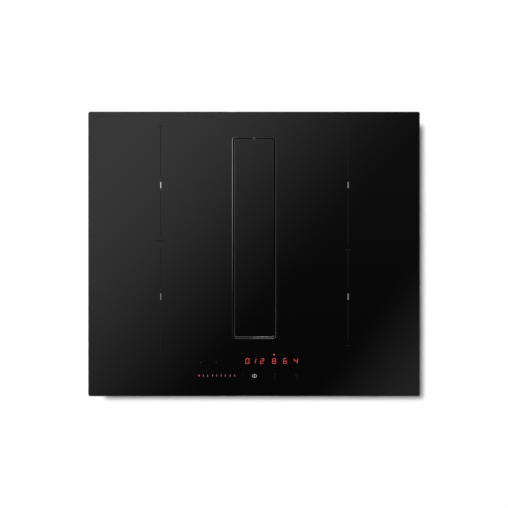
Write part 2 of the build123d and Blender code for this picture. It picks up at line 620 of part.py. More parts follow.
def scroll_prism(z_span, grow, mode=Mode.ADD):
    """The scroll's outline, grown by a wall thickness, between two heights."""
    with BuildSketch(Plane.XY.offset(z_span[0])) as outline:
        scroll_profile(grow)
    extrude(outline.sketch, amount=z_span[1] - z_span[0], mode=mode)


with BuildPart() as scroll_lower:
    scroll_prism((SCROLL_BOTTOM, SCROLL_SPLIT), SCROLL_WALL)
    scroll_prism((SCROLL_BOTTOM + SCROLL_WALL, SCROLL_SPLIT), 0, Mode.SUBTRACT)
    disc(EYE_RADIUS + EYE_LIP, (SCROLL_BOTTOM - EYE_LIP, SCROLL_BOTTOM + 1), (FAN_CENTER,))
    disc(EYE_RADIUS, (SCROLL_BOTTOM - EYE_LIP, SCROLL_BOTTOM + SCROLL_WALL), (FAN_CENTER,), Mode.SUBTRACT)
    fillet(scroll_lower.faces().sort_by(Axis.Z)[0].inner_wires()[0].edges(), EYE_ROUNDING)
save(scroll_lower, "scroll_lower")

with BuildPart() as scroll_upper:
    scroll_prism((SCROLL_SPLIT, SCROLL_TOP), SCROLL_WALL)
    scroll_prism((SCROLL_SPLIT, SCROLL_TOP - SCROLL_WALL), 0, Mode.SUBTRACT)
    disc(MOTOR_OPENING, (SCROLL_TOP - SCROLL_WALL, SCROLL_TOP), (FAN_CENTER,), Mode.SUBTRACT)
save(scroll_upper, "scroll_upper")

# Forward-curved blades between a back plate at the top and a ring at the bottom.
BLADE_INNER = 54
BLADE_OUTER = 65
BLADE_THICKNESS = 1
BLADE_ANGLE = 35
BACK_PLATE = 3
RING_THICKNESS = 2
HUB_SPAN = (IMPELLER_TOP - 12, IMPELLER_TOP)
HUB_WALL = 3
with BuildPart() as impeller:
    disc(IMPELLER_RADIUS, (IMPELLER_TOP - BACK_PLATE, IMPELLER_TOP), (FAN_CENTER,))
    disc(ROTOR_RADIUS + HUB_WALL, HUB_SPAN, (FAN_CENTER,))
    disc(ROTOR_RADIUS, HUB_SPAN, (FAN_CENTER,), Mode.SUBTRACT)
    disc(IMPELLER_RADIUS, (IMPELLER_BOTTOM, IMPELLER_BOTTOM + RING_THICKNESS), (FAN_CENTER,))
    disc(BLADE_INNER, (IMPELLER_BOTTOM, IMPELLER_BOTTOM + RING_THICKNESS), (FAN_CENTER,), Mode.SUBTRACT)
    with BuildSketch(Plane.XY.offset(IMPELLER_BOTTOM + RING_THICKNESS / 2)):
        with Locations(FAN_CENTER):
            with PolarLocations((BLADE_INNER + BLADE_OUTER) / 2, BLADE_COUNT):
                Rectangle(BLADE_OUTER - BLADE_INNER, BLADE_THICKNESS, rotation=BLADE_ANGLE)
    extrude(amount=IMPELLER_TOP - IMPELLER_BOTTOM - BACK_PLATE)
save(impeller, "impeller")

# External-rotor motor: the cup turns with the impeller round a stator that hangs from the mount's neck.
ROTOR_SPAN = (90, 115)
ROTOR_FLOOR = 2
ROTOR_WALL = 1.8
SHAFT_SPAN = (87, 120)
with BuildPart() as motor_rotor:
    disc(ROTOR_RADIUS, ROTOR_SPAN, (FAN_CENTER,))
    cup_span = (ROTOR_SPAN[0] + ROTOR_FLOOR, ROTOR_SPAN[1])
    disc(ROTOR_RADIUS - ROTOR_WALL, cup_span, (FAN_CENTER,), Mode.SUBTRACT)
    disc(SHAFT_RADIUS, ROTOR_SPAN, (FAN_CENTER,), Mode.SUBTRACT)
save(motor_rotor, "motor_rotor")

with BuildPart() as motor_shaft:
    disc(SHAFT_RADIUS, SHAFT_SPAN, (FAN_CENTER,))
save(motor_shaft, "motor_shaft")

NECK_RADIUS = 9
NECK_BOTTOM = 95
STATOR_RADIUS = 27
STATOR_SPAN = (NECK_BOTTOM, 112)
STATOR_SLOTS = 12
STATOR_SLOT_SIZE = (12, 3)
STATOR_SLOT_RADIUS = 19
with BuildPart() as motor_stator:
    disc(STATOR_RADIUS, STATOR_SPAN, (FAN_CENTER,))
    disc(NECK_RADIUS, STATOR_SPAN, (FAN_CENTER,), Mode.SUBTRACT)
    with BuildSketch(Plane.XY.offset(STATOR_SPAN[0])):
        with Locations(FAN_CENTER):
            with PolarLocations(STATOR_SLOT_RADIUS, STATOR_SLOTS):
                SlotOverall(*STATOR_SLOT_SIZE)
    extrude(amount=STATOR_SPAN[1] - STATOR_SPAN[0], mode=Mode.SUBTRACT)
save(motor_stator, "motor_stator")

BEARING_RADIUS = 6.5
BEARING_SPANS = ((96, 101), (111, 116))
MOUNT_RADIUS = 44
MOUNT_THICKNESS = 3
MOUNT_TOP = SCROLL_TOP + MOUNT_THICKNESS
with BuildPart() as motor_mount:
    disc(MOUNT_RADIUS, (SCROLL_TOP, MOUNT_TOP), (FAN_CENTER,))
    disc(NECK_RADIUS, (NECK_BOTTOM, SCROLL_TOP), (FAN_CENTER,))
    disc(BEARING_RADIUS, (NECK_BOTTOM, SHAFT_SPAN[1] + MOUNT_THICKNESS / 2), (FAN_CENTER,), Mode.SUBTRACT)
save(motor_mount, "motor_mount")

with BuildPart() as motor_bearings:
    for bearing_span in BEARING_SPANS:
        disc(BEARING_RADIUS, bearing_span, (FAN_CENTER,))
    disc(SHAFT_RADIUS + RUNNING_GAP, (BEARING_SPANS[0][0], BEARING_SPANS[1][1]), (FAN_CENTER,), Mode.SUBTRACT)
save(motor_bearings, "motor_bearings")

ISOLATOR_RADIUS = 6
ISOLATOR_BORE = 2
ISOLATOR_OFFSET = (52, 48)
ISOLATOR_SPOTS = [
    (FAN_X + i * ISOLATOR_OFFSET[0], FAN_Y + k * ISOLATOR_OFFSET[1]) for i in (-1, 1) for k in (-1, 1)
]
with BuildPart() as scroll_isolators:
    disc(ISOLATOR_RADIUS, (SCROLL_TOP, LID_UNDERSIDE), ISOLATOR_SPOTS)
    disc(ISOLATOR_BORE, (SCROLL_TOP, LID_UNDERSIDE), ISOLATOR_SPOTS, Mode.SUBTRACT)
save(scroll_isolators, "scroll_isolators")


def duct_section(x_span, z_span, y, grow):
    """One end of the diffuser, a rectangle standing across Y."""
    with BuildSketch(Plane.XZ.offset(-y)) as section:
        with Locations(((x_span[0] + x_span[1]) / 2, (z_span[0] + z_span[1]) / 2)):
            Rectangle(x_span[1] - x_span[0] + 2 * grow, z_span[1] - z_span[0] + 2 * grow)
    return section.sketch


DIFFUSER_START = THROAT_Y + 0.1
DIFFUSER_END = PLENUM_BACK - PLENUM_WALL
THROAT_SPAN_X = (THROAT_LEFT, THROAT_RIGHT)
THROAT_SPAN_Z = (SCROLL_BOTTOM + SCROLL_WALL, SCROLL_TOP - SCROLL_WALL)
with BuildPart() as outlet_diffuser:
    for grow, mode in ((DUCT_WALL, Mode.ADD), (0, Mode.SUBTRACT)):
        start = duct_section(THROAT_SPAN_X, THROAT_SPAN_Z, DIFFUSER_START, grow)
        end = duct_section(DUCT_INNER_X, DUCT_INNER_Z, DIFFUSER_END, grow)
        loft([start, end], mode=mode)
save(outlet_diffuser, "outlet_diffuser")

with BuildPart() as outlet_collar:
    plate_x = (COLLAR_PLATE_LEFT, COLLAR_PLATE_LEFT + COLLAR_PLATE_WIDTH)
    plate_z = (DUCT_Z - COLLAR_PLATE_HEIGHT / 2, DUCT_Z + COLLAR_PLATE_HEIGHT / 2)
    block(plate_x, (PLENUM_BACK, PLENUM_BACK + COLLAR_PLATE), plate_z)
    duct_outer_x = (DUCT_INNER_X[0] - DUCT_WALL, DUCT_INNER_X[1] + DUCT_WALL)
    duct_outer_z = (DUCT_INNER_Z[0] - DUCT_WALL, DUCT_INNER_Z[1] + DUCT_WALL)
    block(duct_outer_x, (PLENUM_BACK, DUCT_END), duct_outer_z)
    fillet(outlet_collar.edges().filter_by(Axis.Y).group_by(SortBy.LENGTH)[-1], COLLAR_ROUNDING)
    block(DUCT_INNER_X, (PLENUM_BACK, DUCT_END), DUCT_INNER_Z, Mode.SUBTRACT)
    for x, z in COLLAR_SPOTS:
        rod_y(SCREW_HOLE, (PLENUM_BACK, PLENUM_BACK + COLLAR_PLATE), x, z, Mode.SUBTRACT)
save(outlet_collar, "outlet_collar")

# ---- Casing that holds the induction modules ------------------------------------------------------------

WELL_SIZE = (104, 391)
WELL_TOP = 196
WELL_CORNER = 8
POST_SPOTS = [(side * x, y) for side in (-1, 1) for x in (78, 247) for y in (-128, 40, 222)]
BOARD_POST_RADIUS = 4
LEAD_SPOTS = [(TERMINAL_X + offset, 175) for offset in (-12, 0, 12)]
LEAD_HOLE = 3
INTAKE_SLOT = (60, 4)
INTAKE_ROWS = 7
SIDE_VENT = (26, 4)
SIDE_VENT_PITCH = 34
SIDE_VENTS = 5
SIDE_VENT_Z = 168
FLOOR_SPAN = (CASING_FLOOR, CASING_FLOOR + SHEET)
with BuildPart() as casing_tray:
    plate(CASING_WIDTH, CASING_DEPTH, (CASING_FLOOR, CASING_TOP), corner=CASING_CORNER)
    inner_size = (2 * CASING_INNER_X, 2 * CASING_INNER_Y)
    plate(*inner_size, (FLOOR_SPAN[1], CASING_TOP), corner=CASING_CORNER - SHEET, mode=Mode.SUBTRACT)
    well_outer = (WELL_SIZE[0] + 2 * SHEET, WELL_SIZE[1] + 2 * SHEET)
    plate(*well_outer, (CASING_FLOOR, WELL_TOP), SLOT_CENTER, WELL_CORNER + SHEET)
    plate(*WELL_SIZE, (CASING_FLOOR, WELL_TOP), SLOT_CENTER, WELL_CORNER, Mode.SUBTRACT)
    disc(BOARD_POST_RADIUS, (CASING_FLOOR, BOARD_Z), POST_SPOTS)
    casing_screw_holes()
    for side in (-1, 1):
        vents(*INTAKE_SLOT, FLOOR_SPAN, (side * COOLER_X, COOLER_Y), INTAKE_ROWS)
        with BuildSketch(Plane.YZ.offset(side * CASING_WIDTH / 2)):
            with Locations((0, SIDE_VENT_Z)):
                with GridLocations(SIDE_VENT_PITCH, 0, SIDE_VENTS, 1):
                    SlotOverall(*SIDE_VENT)
        extrude(amount=-side * SHEET, mode=Mode.SUBTRACT)
    disc(CABLE_HOLE, FLOOR_SPAN, ((CABLE_X, FAN_Y),), Mode.SUBTRACT)
    disc(LEAD_HOLE, FLOOR_SPAN, LEAD_SPOTS, Mode.SUBTRACT)
    disc(SCREW_HOLE, FLOOR_SPAN, LID_POST_SPOTS, Mode.SUBTRACT)
save(casing_tray, "casing_tray")

# Side clips: bowed spring leaves riveted to the casing's side walls; they grip the worktop cut-out.
CLIP_BOW = 2.4
CLIP_SHEET = 0.9
CLIP_LENGTH = 24
CLIP_SPAN = (150, 186)
CLIP_END = 4
CLIP_MIDDLE = sum(CLIP_SPAN) / 2
CLIP_Y = (-150, 150)
with BuildPart() as side_clips:
    for side in (-1, 1):
        wall_x = side * CASING_WIDTH / 2
        for clip_y in CLIP_Y:
            with BuildSketch(Plane.XZ.offset(-(clip_y - CLIP_LENGTH / 2))):
                with BuildLine():
                    ThreePointArc(
                        (wall_x, CLIP_SPAN[0]),
                        (wall_x + side * (CLIP_BOW + CLIP_SHEET), CLIP_MIDDLE),
                        (wall_x, CLIP_SPAN[1]),
                    )
                    Line((wall_x, CLIP_SPAN[1]), (wall_x, CLIP_SPAN[1] - CLIP_END))
                    ThreePointArc(
                        (wall_x, CLIP_SPAN[1] - CLIP_END),
                        (wall_x + side * CLIP_BOW, CLIP_MIDDLE),
                        (wall_x, CLIP_SPAN[0] + CLIP_END),
                    )
                    Line((wall_x, CLIP_SPAN[0] + CLIP_END), (wall_x, CLIP_SPAN[0]))
                make_face()
            extrude(amount=-CLIP_LENGTH)
save(side_clips, "side_clips")

# ---- Coils, their formers, ferrites, carriers, springs and sensors -------------------------------------

FORMER_MARGIN = 6
FORMER_BOTTOM = 195.5
FERRITE_BOTTOM = CARRIER_Z + CARRIER_SHEET
FERRITE_SIZE = (74, 14)
FERRITE_PITCH = (100, 48)
CARRIER_VENT = (60, 20)
CARRIER_VENT_PITCH = 180
MICA_SIZE = (202, 395)
MICA_Y = 23.5
SENSOR_RADIUS = 5
SENSOR_HOLE = 6.5
CARRIER_SPAN_Y = (-175, 222)
CARRIER_OUTER = 272
CARRIER_INNER = 56
SPRING_RADIUS = 4.5
SPRING_WALL = 1.2
COIL_CENTERS = [(x, y) for x, y, width, depth in COIL_SIZES.values()]

for name, (coil_x, coil_y, coil_width, coil_depth) in COIL_SIZES.items():
    with BuildPart() as coil:
        plate(coil_width, coil_depth, (COIL_BOTTOM, COIL_TOP), (coil_x, coil_y), COIL_CORNER)
        plate(*COIL_HOLE, (COIL_BOTTOM, COIL_TOP), (coil_x, coil_y), COIL_HOLE_CORNER, Mode.SUBTRACT)
    save(coil, f"coil_{name}")

with BuildPart() as coil_formers:
    for coil_x, coil_y, coil_width, coil_depth in COIL_SIZES.values():
        plate(
            coil_width + FORMER_MARGIN,
            coil_depth + FORMER_MARGIN,
            (FORMER_BOTTOM, COIL_BOTTOM),
            (coil_x, coil_y),
            COIL_CORNER,
        )
    disc(SENSOR_HOLE, (FORMER_BOTTOM, COIL_BOTTOM), COIL_CENTERS, Mode.SUBTRACT)
save(coil_formers, "coil_formers")

with BuildPart() as coil_ferrites:
    with BuildSketch(Plane.XY.offset(FERRITE_BOTTOM)):
        with Locations(*COIL_CENTERS):
            with GridLocations(*FERRITE_PITCH, 2, 3):
                Rectangle(*FERRITE_SIZE)
    extrude(amount=FERRITE_HEIGHT)
save(coil_ferrites, "coil_ferrites")

with BuildPart() as coil_carriers:
    for side in (-1, 1):
        carrier_center = (side * (CARRIER_OUTER + CARRIER_INNER) / 2, sum(CARRIER_SPAN_Y) / 2)
        carrier_depth = CARRIER_SPAN_Y[1] - CARRIER_SPAN_Y[0]
        carrier_width = CARRIER_OUTER - CARRIER_INNER
        plate(carrier_width, carrier_depth, (CARRIER_Z, FERRITE_BOTTOM), carrier_center, CASING_CORNER)
        with BuildSketch(Plane.XY.offset(CARRIER_Z)):
            with Locations(carrier_center):
                with GridLocations(0, CARRIER_VENT_PITCH, 1, 2):
                    SlotOverall(*CARRIER_VENT)
        extrude(amount=CARRIER_SHEET, mode=Mode.SUBTRACT)
save(coil_carriers, "coil_carriers")

with BuildPart() as mica_sheets:
    for side in (-1, 1):
        plate(*MICA_SIZE, (COIL_TOP, GLASS_UNDERSIDE), (side * COIL_X, MICA_Y), CASING_CORNER)
    disc(SENSOR_HOLE, (COIL_TOP, GLASS_UNDERSIDE), COIL_CENTERS, Mode.SUBTRACT)
save(mica_sheets, "mica_sheets")

# Each sensor is a capsule held in the middle of its coil and pressed to the glass.
with BuildPart() as temperature_sensors:
    disc(SENSOR_RADIUS, (FERRITE_BOTTOM, GLASS_UNDERSIDE), COIL_CENTERS)
save(temperature_sensors, "temperature_sensors")

SPRING_SPOTS = [(side * x, y) for side in (-1, 1) for x in (60.5, 264) for y in (-140, 210)]
with BuildPart() as carrier_springs:
    disc(SPRING_RADIUS, (CASING_FLOOR + SHEET, CARRIER_Z), SPRING_SPOTS)
    disc(SPRING_RADIUS - SPRING_WALL, (CASING_FLOOR + SHEET, CARRIER_Z), SPRING_SPOTS, Mode.SUBTRACT)
save(carrier_springs, "carrier_springs")

# ---- Power electronics ----------------------------------------------------------------------------------

BOARD_TOP = BOARD_Z + BOARD_THICKNESS
BOARD_Y = (BOARD_FRONT + BOARD_BACK) / 2
SINK_CENTER = (200, -40)
SINK_SIZE = (60, 170)
SINK_BASE = 5
SINK_HEIGHT = 34
SINK_FINS = 9
FIN_PITCH = 7
FIN_THICKNESS = 2
with BuildPart() as heat_sinks:
    for side in (-1, 1):
        sink_center = (side * SINK_CENTER[0], SINK_CENTER[1])
        plate(*SINK_SIZE, (BOARD_TOP, BOARD_TOP + SINK_BASE), sink_center)
        with BuildSketch(Plane.XY.offset(BOARD_TOP)):
            with Locations(sink_center):
                with GridLocations(FIN_PITCH, 0, SINK_FINS, 1):
                    Rectangle(FIN_THICKNESS, SINK_SIZE[1])
        extrude(amount=SINK_HEIGHT)
save(heat_sinks, "heat_sinks")

CAPACITOR_SPOTS = [(side * x, y) for side in (-1, 1) for x in (100, 135) for y in (90, 125)]
CAPACITOR_RADIUS = 14
CAPACITOR_HEIGHT = 32
CAPACITOR_ROUNDING = 1.5
with BuildPart() as capacitors:
    disc(CAPACITOR_RADIUS, (BOARD_TOP, BOARD_TOP + CAPACITOR_HEIGHT), CAPACITOR_SPOTS)
    fillet(capacitors.faces().group_by(Axis.Z)[-1].edges(), CAPACITOR_ROUNDING)
save(capacitors, "capacitors")

CHOKE_SPOTS = [(side * 200, y) for side in (-1, 1) for y in (95, 150)]
CHOKE_RADIUS = 20
CHOKE_BORE = 8
CHOKE_HEIGHT = 20
CHOKE_ROUNDING = 4
with BuildPart() as filter_chokes:
    disc(CHOKE_RADIUS, (BOARD_TOP, BOARD_TOP + CHOKE_HEIGHT), CHOKE_SPOTS)
    disc(CHOKE_BORE, (BOARD_TOP, BOARD_TOP + CHOKE_HEIGHT), CHOKE_SPOTS, Mode.SUBTRACT)
    fillet(filter_chokes.edges().filter_by(GeomType.CIRCLE).group_by(Axis.Z)[-1], CHOKE_ROUNDING)
save(filter_chokes, "filter_chokes")

COOLER_BOTTOM = CASING_FLOOR + SHEET
COOLER_SPAN = (COOLER_BOTTOM, COOLER_BOTTOM + COOLER_HEIGHT)
COOLER_HUB = 16
COOLER_BLADES = 7
COOLER_PIN = 2
COOLER_ARM = 5
COOLER_CORNER = 4
COOLER_BLADE = (20, 6)
COOLER_BLADE_ANGLE = 12
BLADE_MARGIN = 2
COOLER_TOP_SPAN = (COOLER_SPAN[1] - 3, COOLER_SPAN[1])
COOLER_PIN_BOTTOM = COOLER_SPAN[1] - 14
with BuildPart() as cooling_fan_frames:
    for side in (-1, 1):
        cooler_center = (side * COOLER_X, COOLER_Y)
        plate(COOLER_SIZE, COOLER_SIZE, COOLER_SPAN, cooler_center, COOLER_CORNER)
        disc(COOLER_BORE, COOLER_SPAN, (cooler_center,), Mode.SUBTRACT)
        plate(COOLER_SIZE - COOLER_ARM, COOLER_ARM, COOLER_TOP_SPAN, cooler_center)
        plate(COOLER_ARM, COOLER_SIZE - COOLER_ARM, COOLER_TOP_SPAN, cooler_center)
        disc(COOLER_HUB, COOLER_TOP_SPAN, (cooler_center,))
        disc(COOLER_PIN, (COOLER_PIN_BOTTOM, COOLER_SPAN[1]), (cooler_center,))
save(cooling_fan_frames, "cooling_fan_frames")

COOLER_ROTOR_SPAN = (COOLER_BOTTOM + 2, COOLER_SPAN[1] - 4)
for side_name, side in (("left", -1), ("right", 1)):
    cooler_center = (side * COOLER_X, COOLER_Y)
    with BuildPart() as cooling_fan_rotor:
        disc(COOLER_HUB, COOLER_ROTOR_SPAN, (cooler_center,))
        with BuildSketch(Plane.XY.offset(COOLER_ROTOR_SPAN[0] + BLADE_MARGIN)):
            with Locations(cooler_center):
                with PolarLocations(COOLER_HUB + COOLER_BLADE[0] / 2 - 1, COOLER_BLADES):
                    Rectangle(*COOLER_BLADE, rotation=COOLER_BLADE_ANGLE)
        extrude(amount=COOLER_ROTOR_SPAN[1] - COOLER_ROTOR_SPAN[0] - 2 * BLADE_MARGIN)
        bore_span = (COOLER_PIN_BOTTOM - 1, COOLER_ROTOR_SPAN[1])
        disc(COOLER_PIN + RUNNING_GAP, bore_span, (cooler_center,), Mode.SUBTRACT)
    save(cooling_fan_rotor, f"cooling_fan_rotor_{side_name}")

# ---- Touch controls -------------------------------------------------------------------------------------

CONTROL_X = (CONTROL_LEFT + CONTROL_RIGHT) / 2
CONTROL_Y = (CONTROL_FRONT + CONTROL_BACK) / 2
CONTROL_WIDTH = CONTROL_RIGHT - CONTROL_LEFT
CONTROL_DEPTH = CONTROL_BACK - CONTROL_FRONT
CONTROL_TOP = CONTROL_Z + BOARD_THICKNESS
SLIDER_SPAN_X = (-104, -18)
SLIDER_HALF = 4
HOLDER_FLOOR = 186
HOLDER_WALL = 2
with BuildPart() as board_carrier:
    control_center = (CONTROL_X, CONTROL_Y)
    plate(CONTROL_WIDTH + 4, CONTROL_DEPTH + 2, (HOLDER_FLOOR, CONTROL_Z), control_center, HOLDER_WALL)
    hollow_size = (CONTROL_WIDTH - 2 * HOLDER_WALL, CONTROL_DEPTH - 3 * HOLDER_WALL)
    plate(*hollow_size, (HOLDER_FLOOR + HOLDER_WALL, CONTROL_Z), control_center, mode=Mode.SUBTRACT)
    plate(30, 10, (HOLDER_FLOOR, HOLDER_FLOOR + HOLDER_WALL), (RIBBON_X, RIBBON_Y), mode=Mode.SUBTRACT)
save(board_carrier, "board_carrier")

# The two power boards on the casing's posts and the control board on its carrier.
with BuildPart() as circuit_boards:
    for side in (-1, 1):
        plate(BOARD_WIDTH, BOARD_BACK - BOARD_FRONT, (BOARD_Z, BOARD_TOP), (side * BOARD_X, BOARD_Y), 3)
    plate(CONTROL_WIDTH, CONTROL_DEPTH, (CONTROL_Z, CONTROL_TOP), (CONTROL_X, CONTROL_Y), 2)
save(circuit_boards, "circuit_boards")

DISPLAY_TOP = GLASS_UNDERSIDE - 0.5
DISPLAY_DEPTH = 17

with BuildPart() as display_modules:
    for digit_x, digit_width in DIGIT_BLOCKS:
        plate(digit_width, DISPLAY_DEPTH, (CONTROL_TOP, DISPLAY_TOP), (digit_x, DIGIT_ROW_Y))
save(display_modules, "display_modules")

with BuildPart() as slider_light_guide:
    slider_span_y = (SLIDER_ROW_Y - SLIDER_HALF, SLIDER_ROW_Y + SLIDER_HALF)
    block(SLIDER_SPAN_X, slider_span_y, (CONTROL_TOP, DISPLAY_TOP))
save(slider_light_guide, "slider_light_guide")

TOUCH_SPOTS = [(x, SLIDER_ROW_Y) for x in TOUCH_ROW] + [(x, DIGIT_ROW_Y) for x in TOUCH_UPPER_ROW]
TOUCH_RADIUS = 5
with BuildPart() as touch_springs:
    disc(TOUCH_RADIUS, (CONTROL_TOP, GLASS_UNDERSIDE), TOUCH_SPOTS)
    disc(TOUCH_RADIUS - SPRING_WALL, (CONTROL_TOP, GLASS_UNDERSIDE), TOUCH_SPOTS, Mode.SUBTRACT)
save(touch_springs, "touch_springs")

# ---- Mains connection -----------------------------------------------------------------------------------

BOX_X = (TERMINAL_X - TERMINAL_WIDTH / 2, TERMINAL_X + TERMINAL_WIDTH / 2)
BOX_Y = (TERMINAL_Y - TERMINAL_DEPTH / 2, TERMINAL_Y + TERMINAL_DEPTH / 2)
HINGE_EAR = 3
HINGE_PIN_LENGTH = 12
KNUCKLE_RADIUS = 3
KNUCKLE_GAP = 0.4
KNUCKLE_END = 14
COVER_SPAN = (TERMINAL_BOTTOM - 3.3, TERMINAL_BOTTOM - 0.3)
with BuildPart() as terminal_box:
    box_inner_x = (BOX_X[0] + TERMINAL_WALL, BOX_X[1] - TERMINAL_WALL)
    box_inner_y = (BOX_Y[0] + TERMINAL_WALL, BOX_Y[1] - TERMINAL_WALL)
    block(BOX_X, BOX_Y, (TERMINAL_BOTTOM, CASING_FLOOR))
    block(box_inner_x, box_inner_y, (TERMINAL_BOTTOM, CASING_FLOOR - TERMINAL_WALL), Mode.SUBTRACT)
    rod_x(GLAND_THREAD, (BOX_X[0], BOX_X[0] + TERMINAL_WALL), GLAND_Y, GLAND_Z, Mode.SUBTRACT)
    disc(LEAD_HOLE, (CASING_FLOOR - TERMINAL_WALL, CASING_FLOOR), LEAD_SPOTS, Mode.SUBTRACT)
    for side in (-1, 1):
        edge_x = TERMINAL_X + side * TERMINAL_WIDTH / 2
        ear_x = sorted((edge_x, edge_x - side * HINGE_EAR))
        pin_x = sorted((edge_x - side, edge_x - side * HINGE_PIN_LENGTH))
        ear_z = (HINGE_Z - KNUCKLE_RADIUS, HINGE_Z + 10)
        block(ear_x, (BOX_Y[1] - 1, HINGE_Y + KNUCKLE_RADIUS), ear_z)
        rod_x(HINGE_PIN, pin_x, HINGE_Y, HINGE_Z)
save(terminal_box, "terminal_box")

# The cover closes the box from below and hangs on two knuckles at its rear edge.
with BuildPart() as terminal_cover:
    block(BOX_X, (BOX_Y[0], BOX_Y[1] - HINGE_EAR - 1), COVER_SPAN)
    for side in (-1, 1):
        edge_x = TERMINAL_X + side * TERMINAL_WIDTH / 2
        knuckle_x = sorted((edge_x - side * (HINGE_EAR + KNUCKLE_GAP), edge_x - side * KNUCKLE_END))
        block(knuckle_x, (BOX_Y[1] - 2 * HINGE_EAR, HINGE_Y), (COVER_SPAN[0], COVER_SPAN[1] - 0.5))
        rod_x(KNUCKLE_RADIUS, knuckle_x, HINGE_Y, HINGE_Z)
        rod_x(HINGE_PIN + RUNNING_GAP, knuckle_x, HINGE_Y, HINGE_Z, Mode.SUBTRACT)
save(terminal_cover, "terminal_cover")

TERMINAL_BLOCK_SIZE = (56, 18)
TERMINAL_BLOCK_SPAN = (118, CASING_FLOOR - TERMINAL_WALL)
with BuildPart() as terminal_block:
    plate(*TERMINAL_BLOCK_SIZE, TERMINAL_BLOCK_SPAN, (TERMINAL_X, LEAD_SPOTS[0][1]))
    disc(LEAD_HOLE, TERMINAL_BLOCK_SPAN, LEAD_SPOTS, Mode.SUBTRACT)
save(terminal_block, "terminal_block")

# Wiring that the housing holds all the way: the three supply leads, the motor's lead, and a flat ribbon that
# drops from the control board and runs back to the left power board.
LEAD_RADIUS = 1.5
MOTOR_LEAD_RADIUS = 2.5
RIBBON_WIDTH = 16
RIBBON_THICKNESS = 1
RIBBON_BEND = 6
RIBBON_ROUTE = [
    (RIBBON_Y, CONTROL_Z),
    (RIBBON_Y, 176),
    (-176, 162),
    (-150, 162),
    (BOARD_FRONT + 4, BOARD_TOP + RIBBON_THICKNESS / 2),
]
with BuildPart() as internal_wiring:
    disc(LEAD_RADIUS, (TERMINAL_BLOCK_SPAN[0], BOARD_Z), LEAD_SPOTS)
    disc(MOTOR_LEAD_RADIUS, (MOUNT_TOP, BOARD_Z), ((CABLE_X, FAN_Y),))
    with BuildSketch(Plane.YZ.offset(RIBBON_X - RIBBON_WIDTH / 2)):
        with BuildLine():
            FilletPolyline(*RIBBON_ROUTE, radius=RIBBON_BEND)
        trace(line_width=RIBBON_THICKNESS)
    extrude(amount=RIBBON_WIDTH)
save(internal_wiring, "internal_wiring")

GLAND_NUT = 6
GLAND_END = BOX_X[0] - 18
GLAND_INNER_END = BOX_X[0] + 6
with BuildPart() as cable_gland:
    rod_x(GLAND_RADIUS, (BOX_X[0] - GLAND_NUT, BOX_X[0]), GLAND_Y, GLAND_Z)
    rod_x(GLAND_RADIUS - 1, (GLAND_END, BOX_X[0] - GLAND_NUT), GLAND_Y, GLAND_Z)
    rod_x(GLAND_THREAD, (BOX_X[0], GLAND_INNER_END), GLAND_Y, GLAND_Z)
    rod_x(GLAND_BORE, (GLAND_END, GLAND_INNER_END), GLAND_Y, GLAND_Z, Mode.SUBTRACT)
save(cable_gland, "cable_gland")

# ---- Fasteners ------------------------------------------------------------------------------------------

HEAD_RADIUS = 3
HEAD_HEIGHT = 1.6
SCREW_REACH = 4
LIP_SCREW_BOTTOM = LIP_SPAN[0] - 2
with BuildPart() as housing_screws:
    for side in (-1, 1):
        for y in SIDE_SCREWS_Y:
            shank = sorted((side * (CASING_INNER_X - SCREW_REACH), side * CASING_WIDTH / 2))
            head = sorted((side * CASING_WIDTH / 2, side * (CASING_WIDTH / 2 + HEAD_HEIGHT)))
            rod_x(SCREW_RADIUS, shank, y, CASING_SCREW_Z)
            rod_x(HEAD_RADIUS, head, y, CASING_SCREW_Z)
        for x in END_SCREWS_X:
            shank = sorted((side * (CASING_INNER_Y - SCREW_REACH), side * CASING_DEPTH / 2))
            head = sorted((side * CASING_DEPTH / 2, side * (CASING_DEPTH / 2 + HEAD_HEIGHT)))
            rod_y(SCREW_RADIUS, shank, x, CASING_SCREW_Z)
            rod_y(HEAD_RADIUS, head, x, CASING_SCREW_Z)
    disc(SCREW_RADIUS, (LIP_SCREW_BOTTOM, LIP_SPAN[1]), PLENUM_SCREW_SPOTS)
    disc(HEAD_RADIUS, (LIP_SPAN[1], LIP_SPAN[1] + HEAD_HEIGHT), PLENUM_SCREW_SPOTS)
    disc(SCREW_RADIUS, (LID_UNDERSIDE, FLOOR_SPAN[1]), LID_POST_SPOTS)
    disc(HEAD_RADIUS, (FLOOR_SPAN[1], FLOOR_SPAN[1] + HEAD_HEIGHT), LID_POST_SPOTS)
    for x, z in COLLAR_SPOTS:
        rod_y(SCREW_RADIUS, (PLENUM_BACK - PLENUM_WALL, PLENUM_BACK + COLLAR_PLATE), x, z)
        collar_face = PLENUM_BACK + COLLAR_PLATE
        rod_y(HEAD_RADIUS, (collar_face, collar_face + HEAD_HEIGHT), x, z)
save(housing_screws, "housing_screws")
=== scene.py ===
import math

import bpy
from mathutils import Matrix, Vector


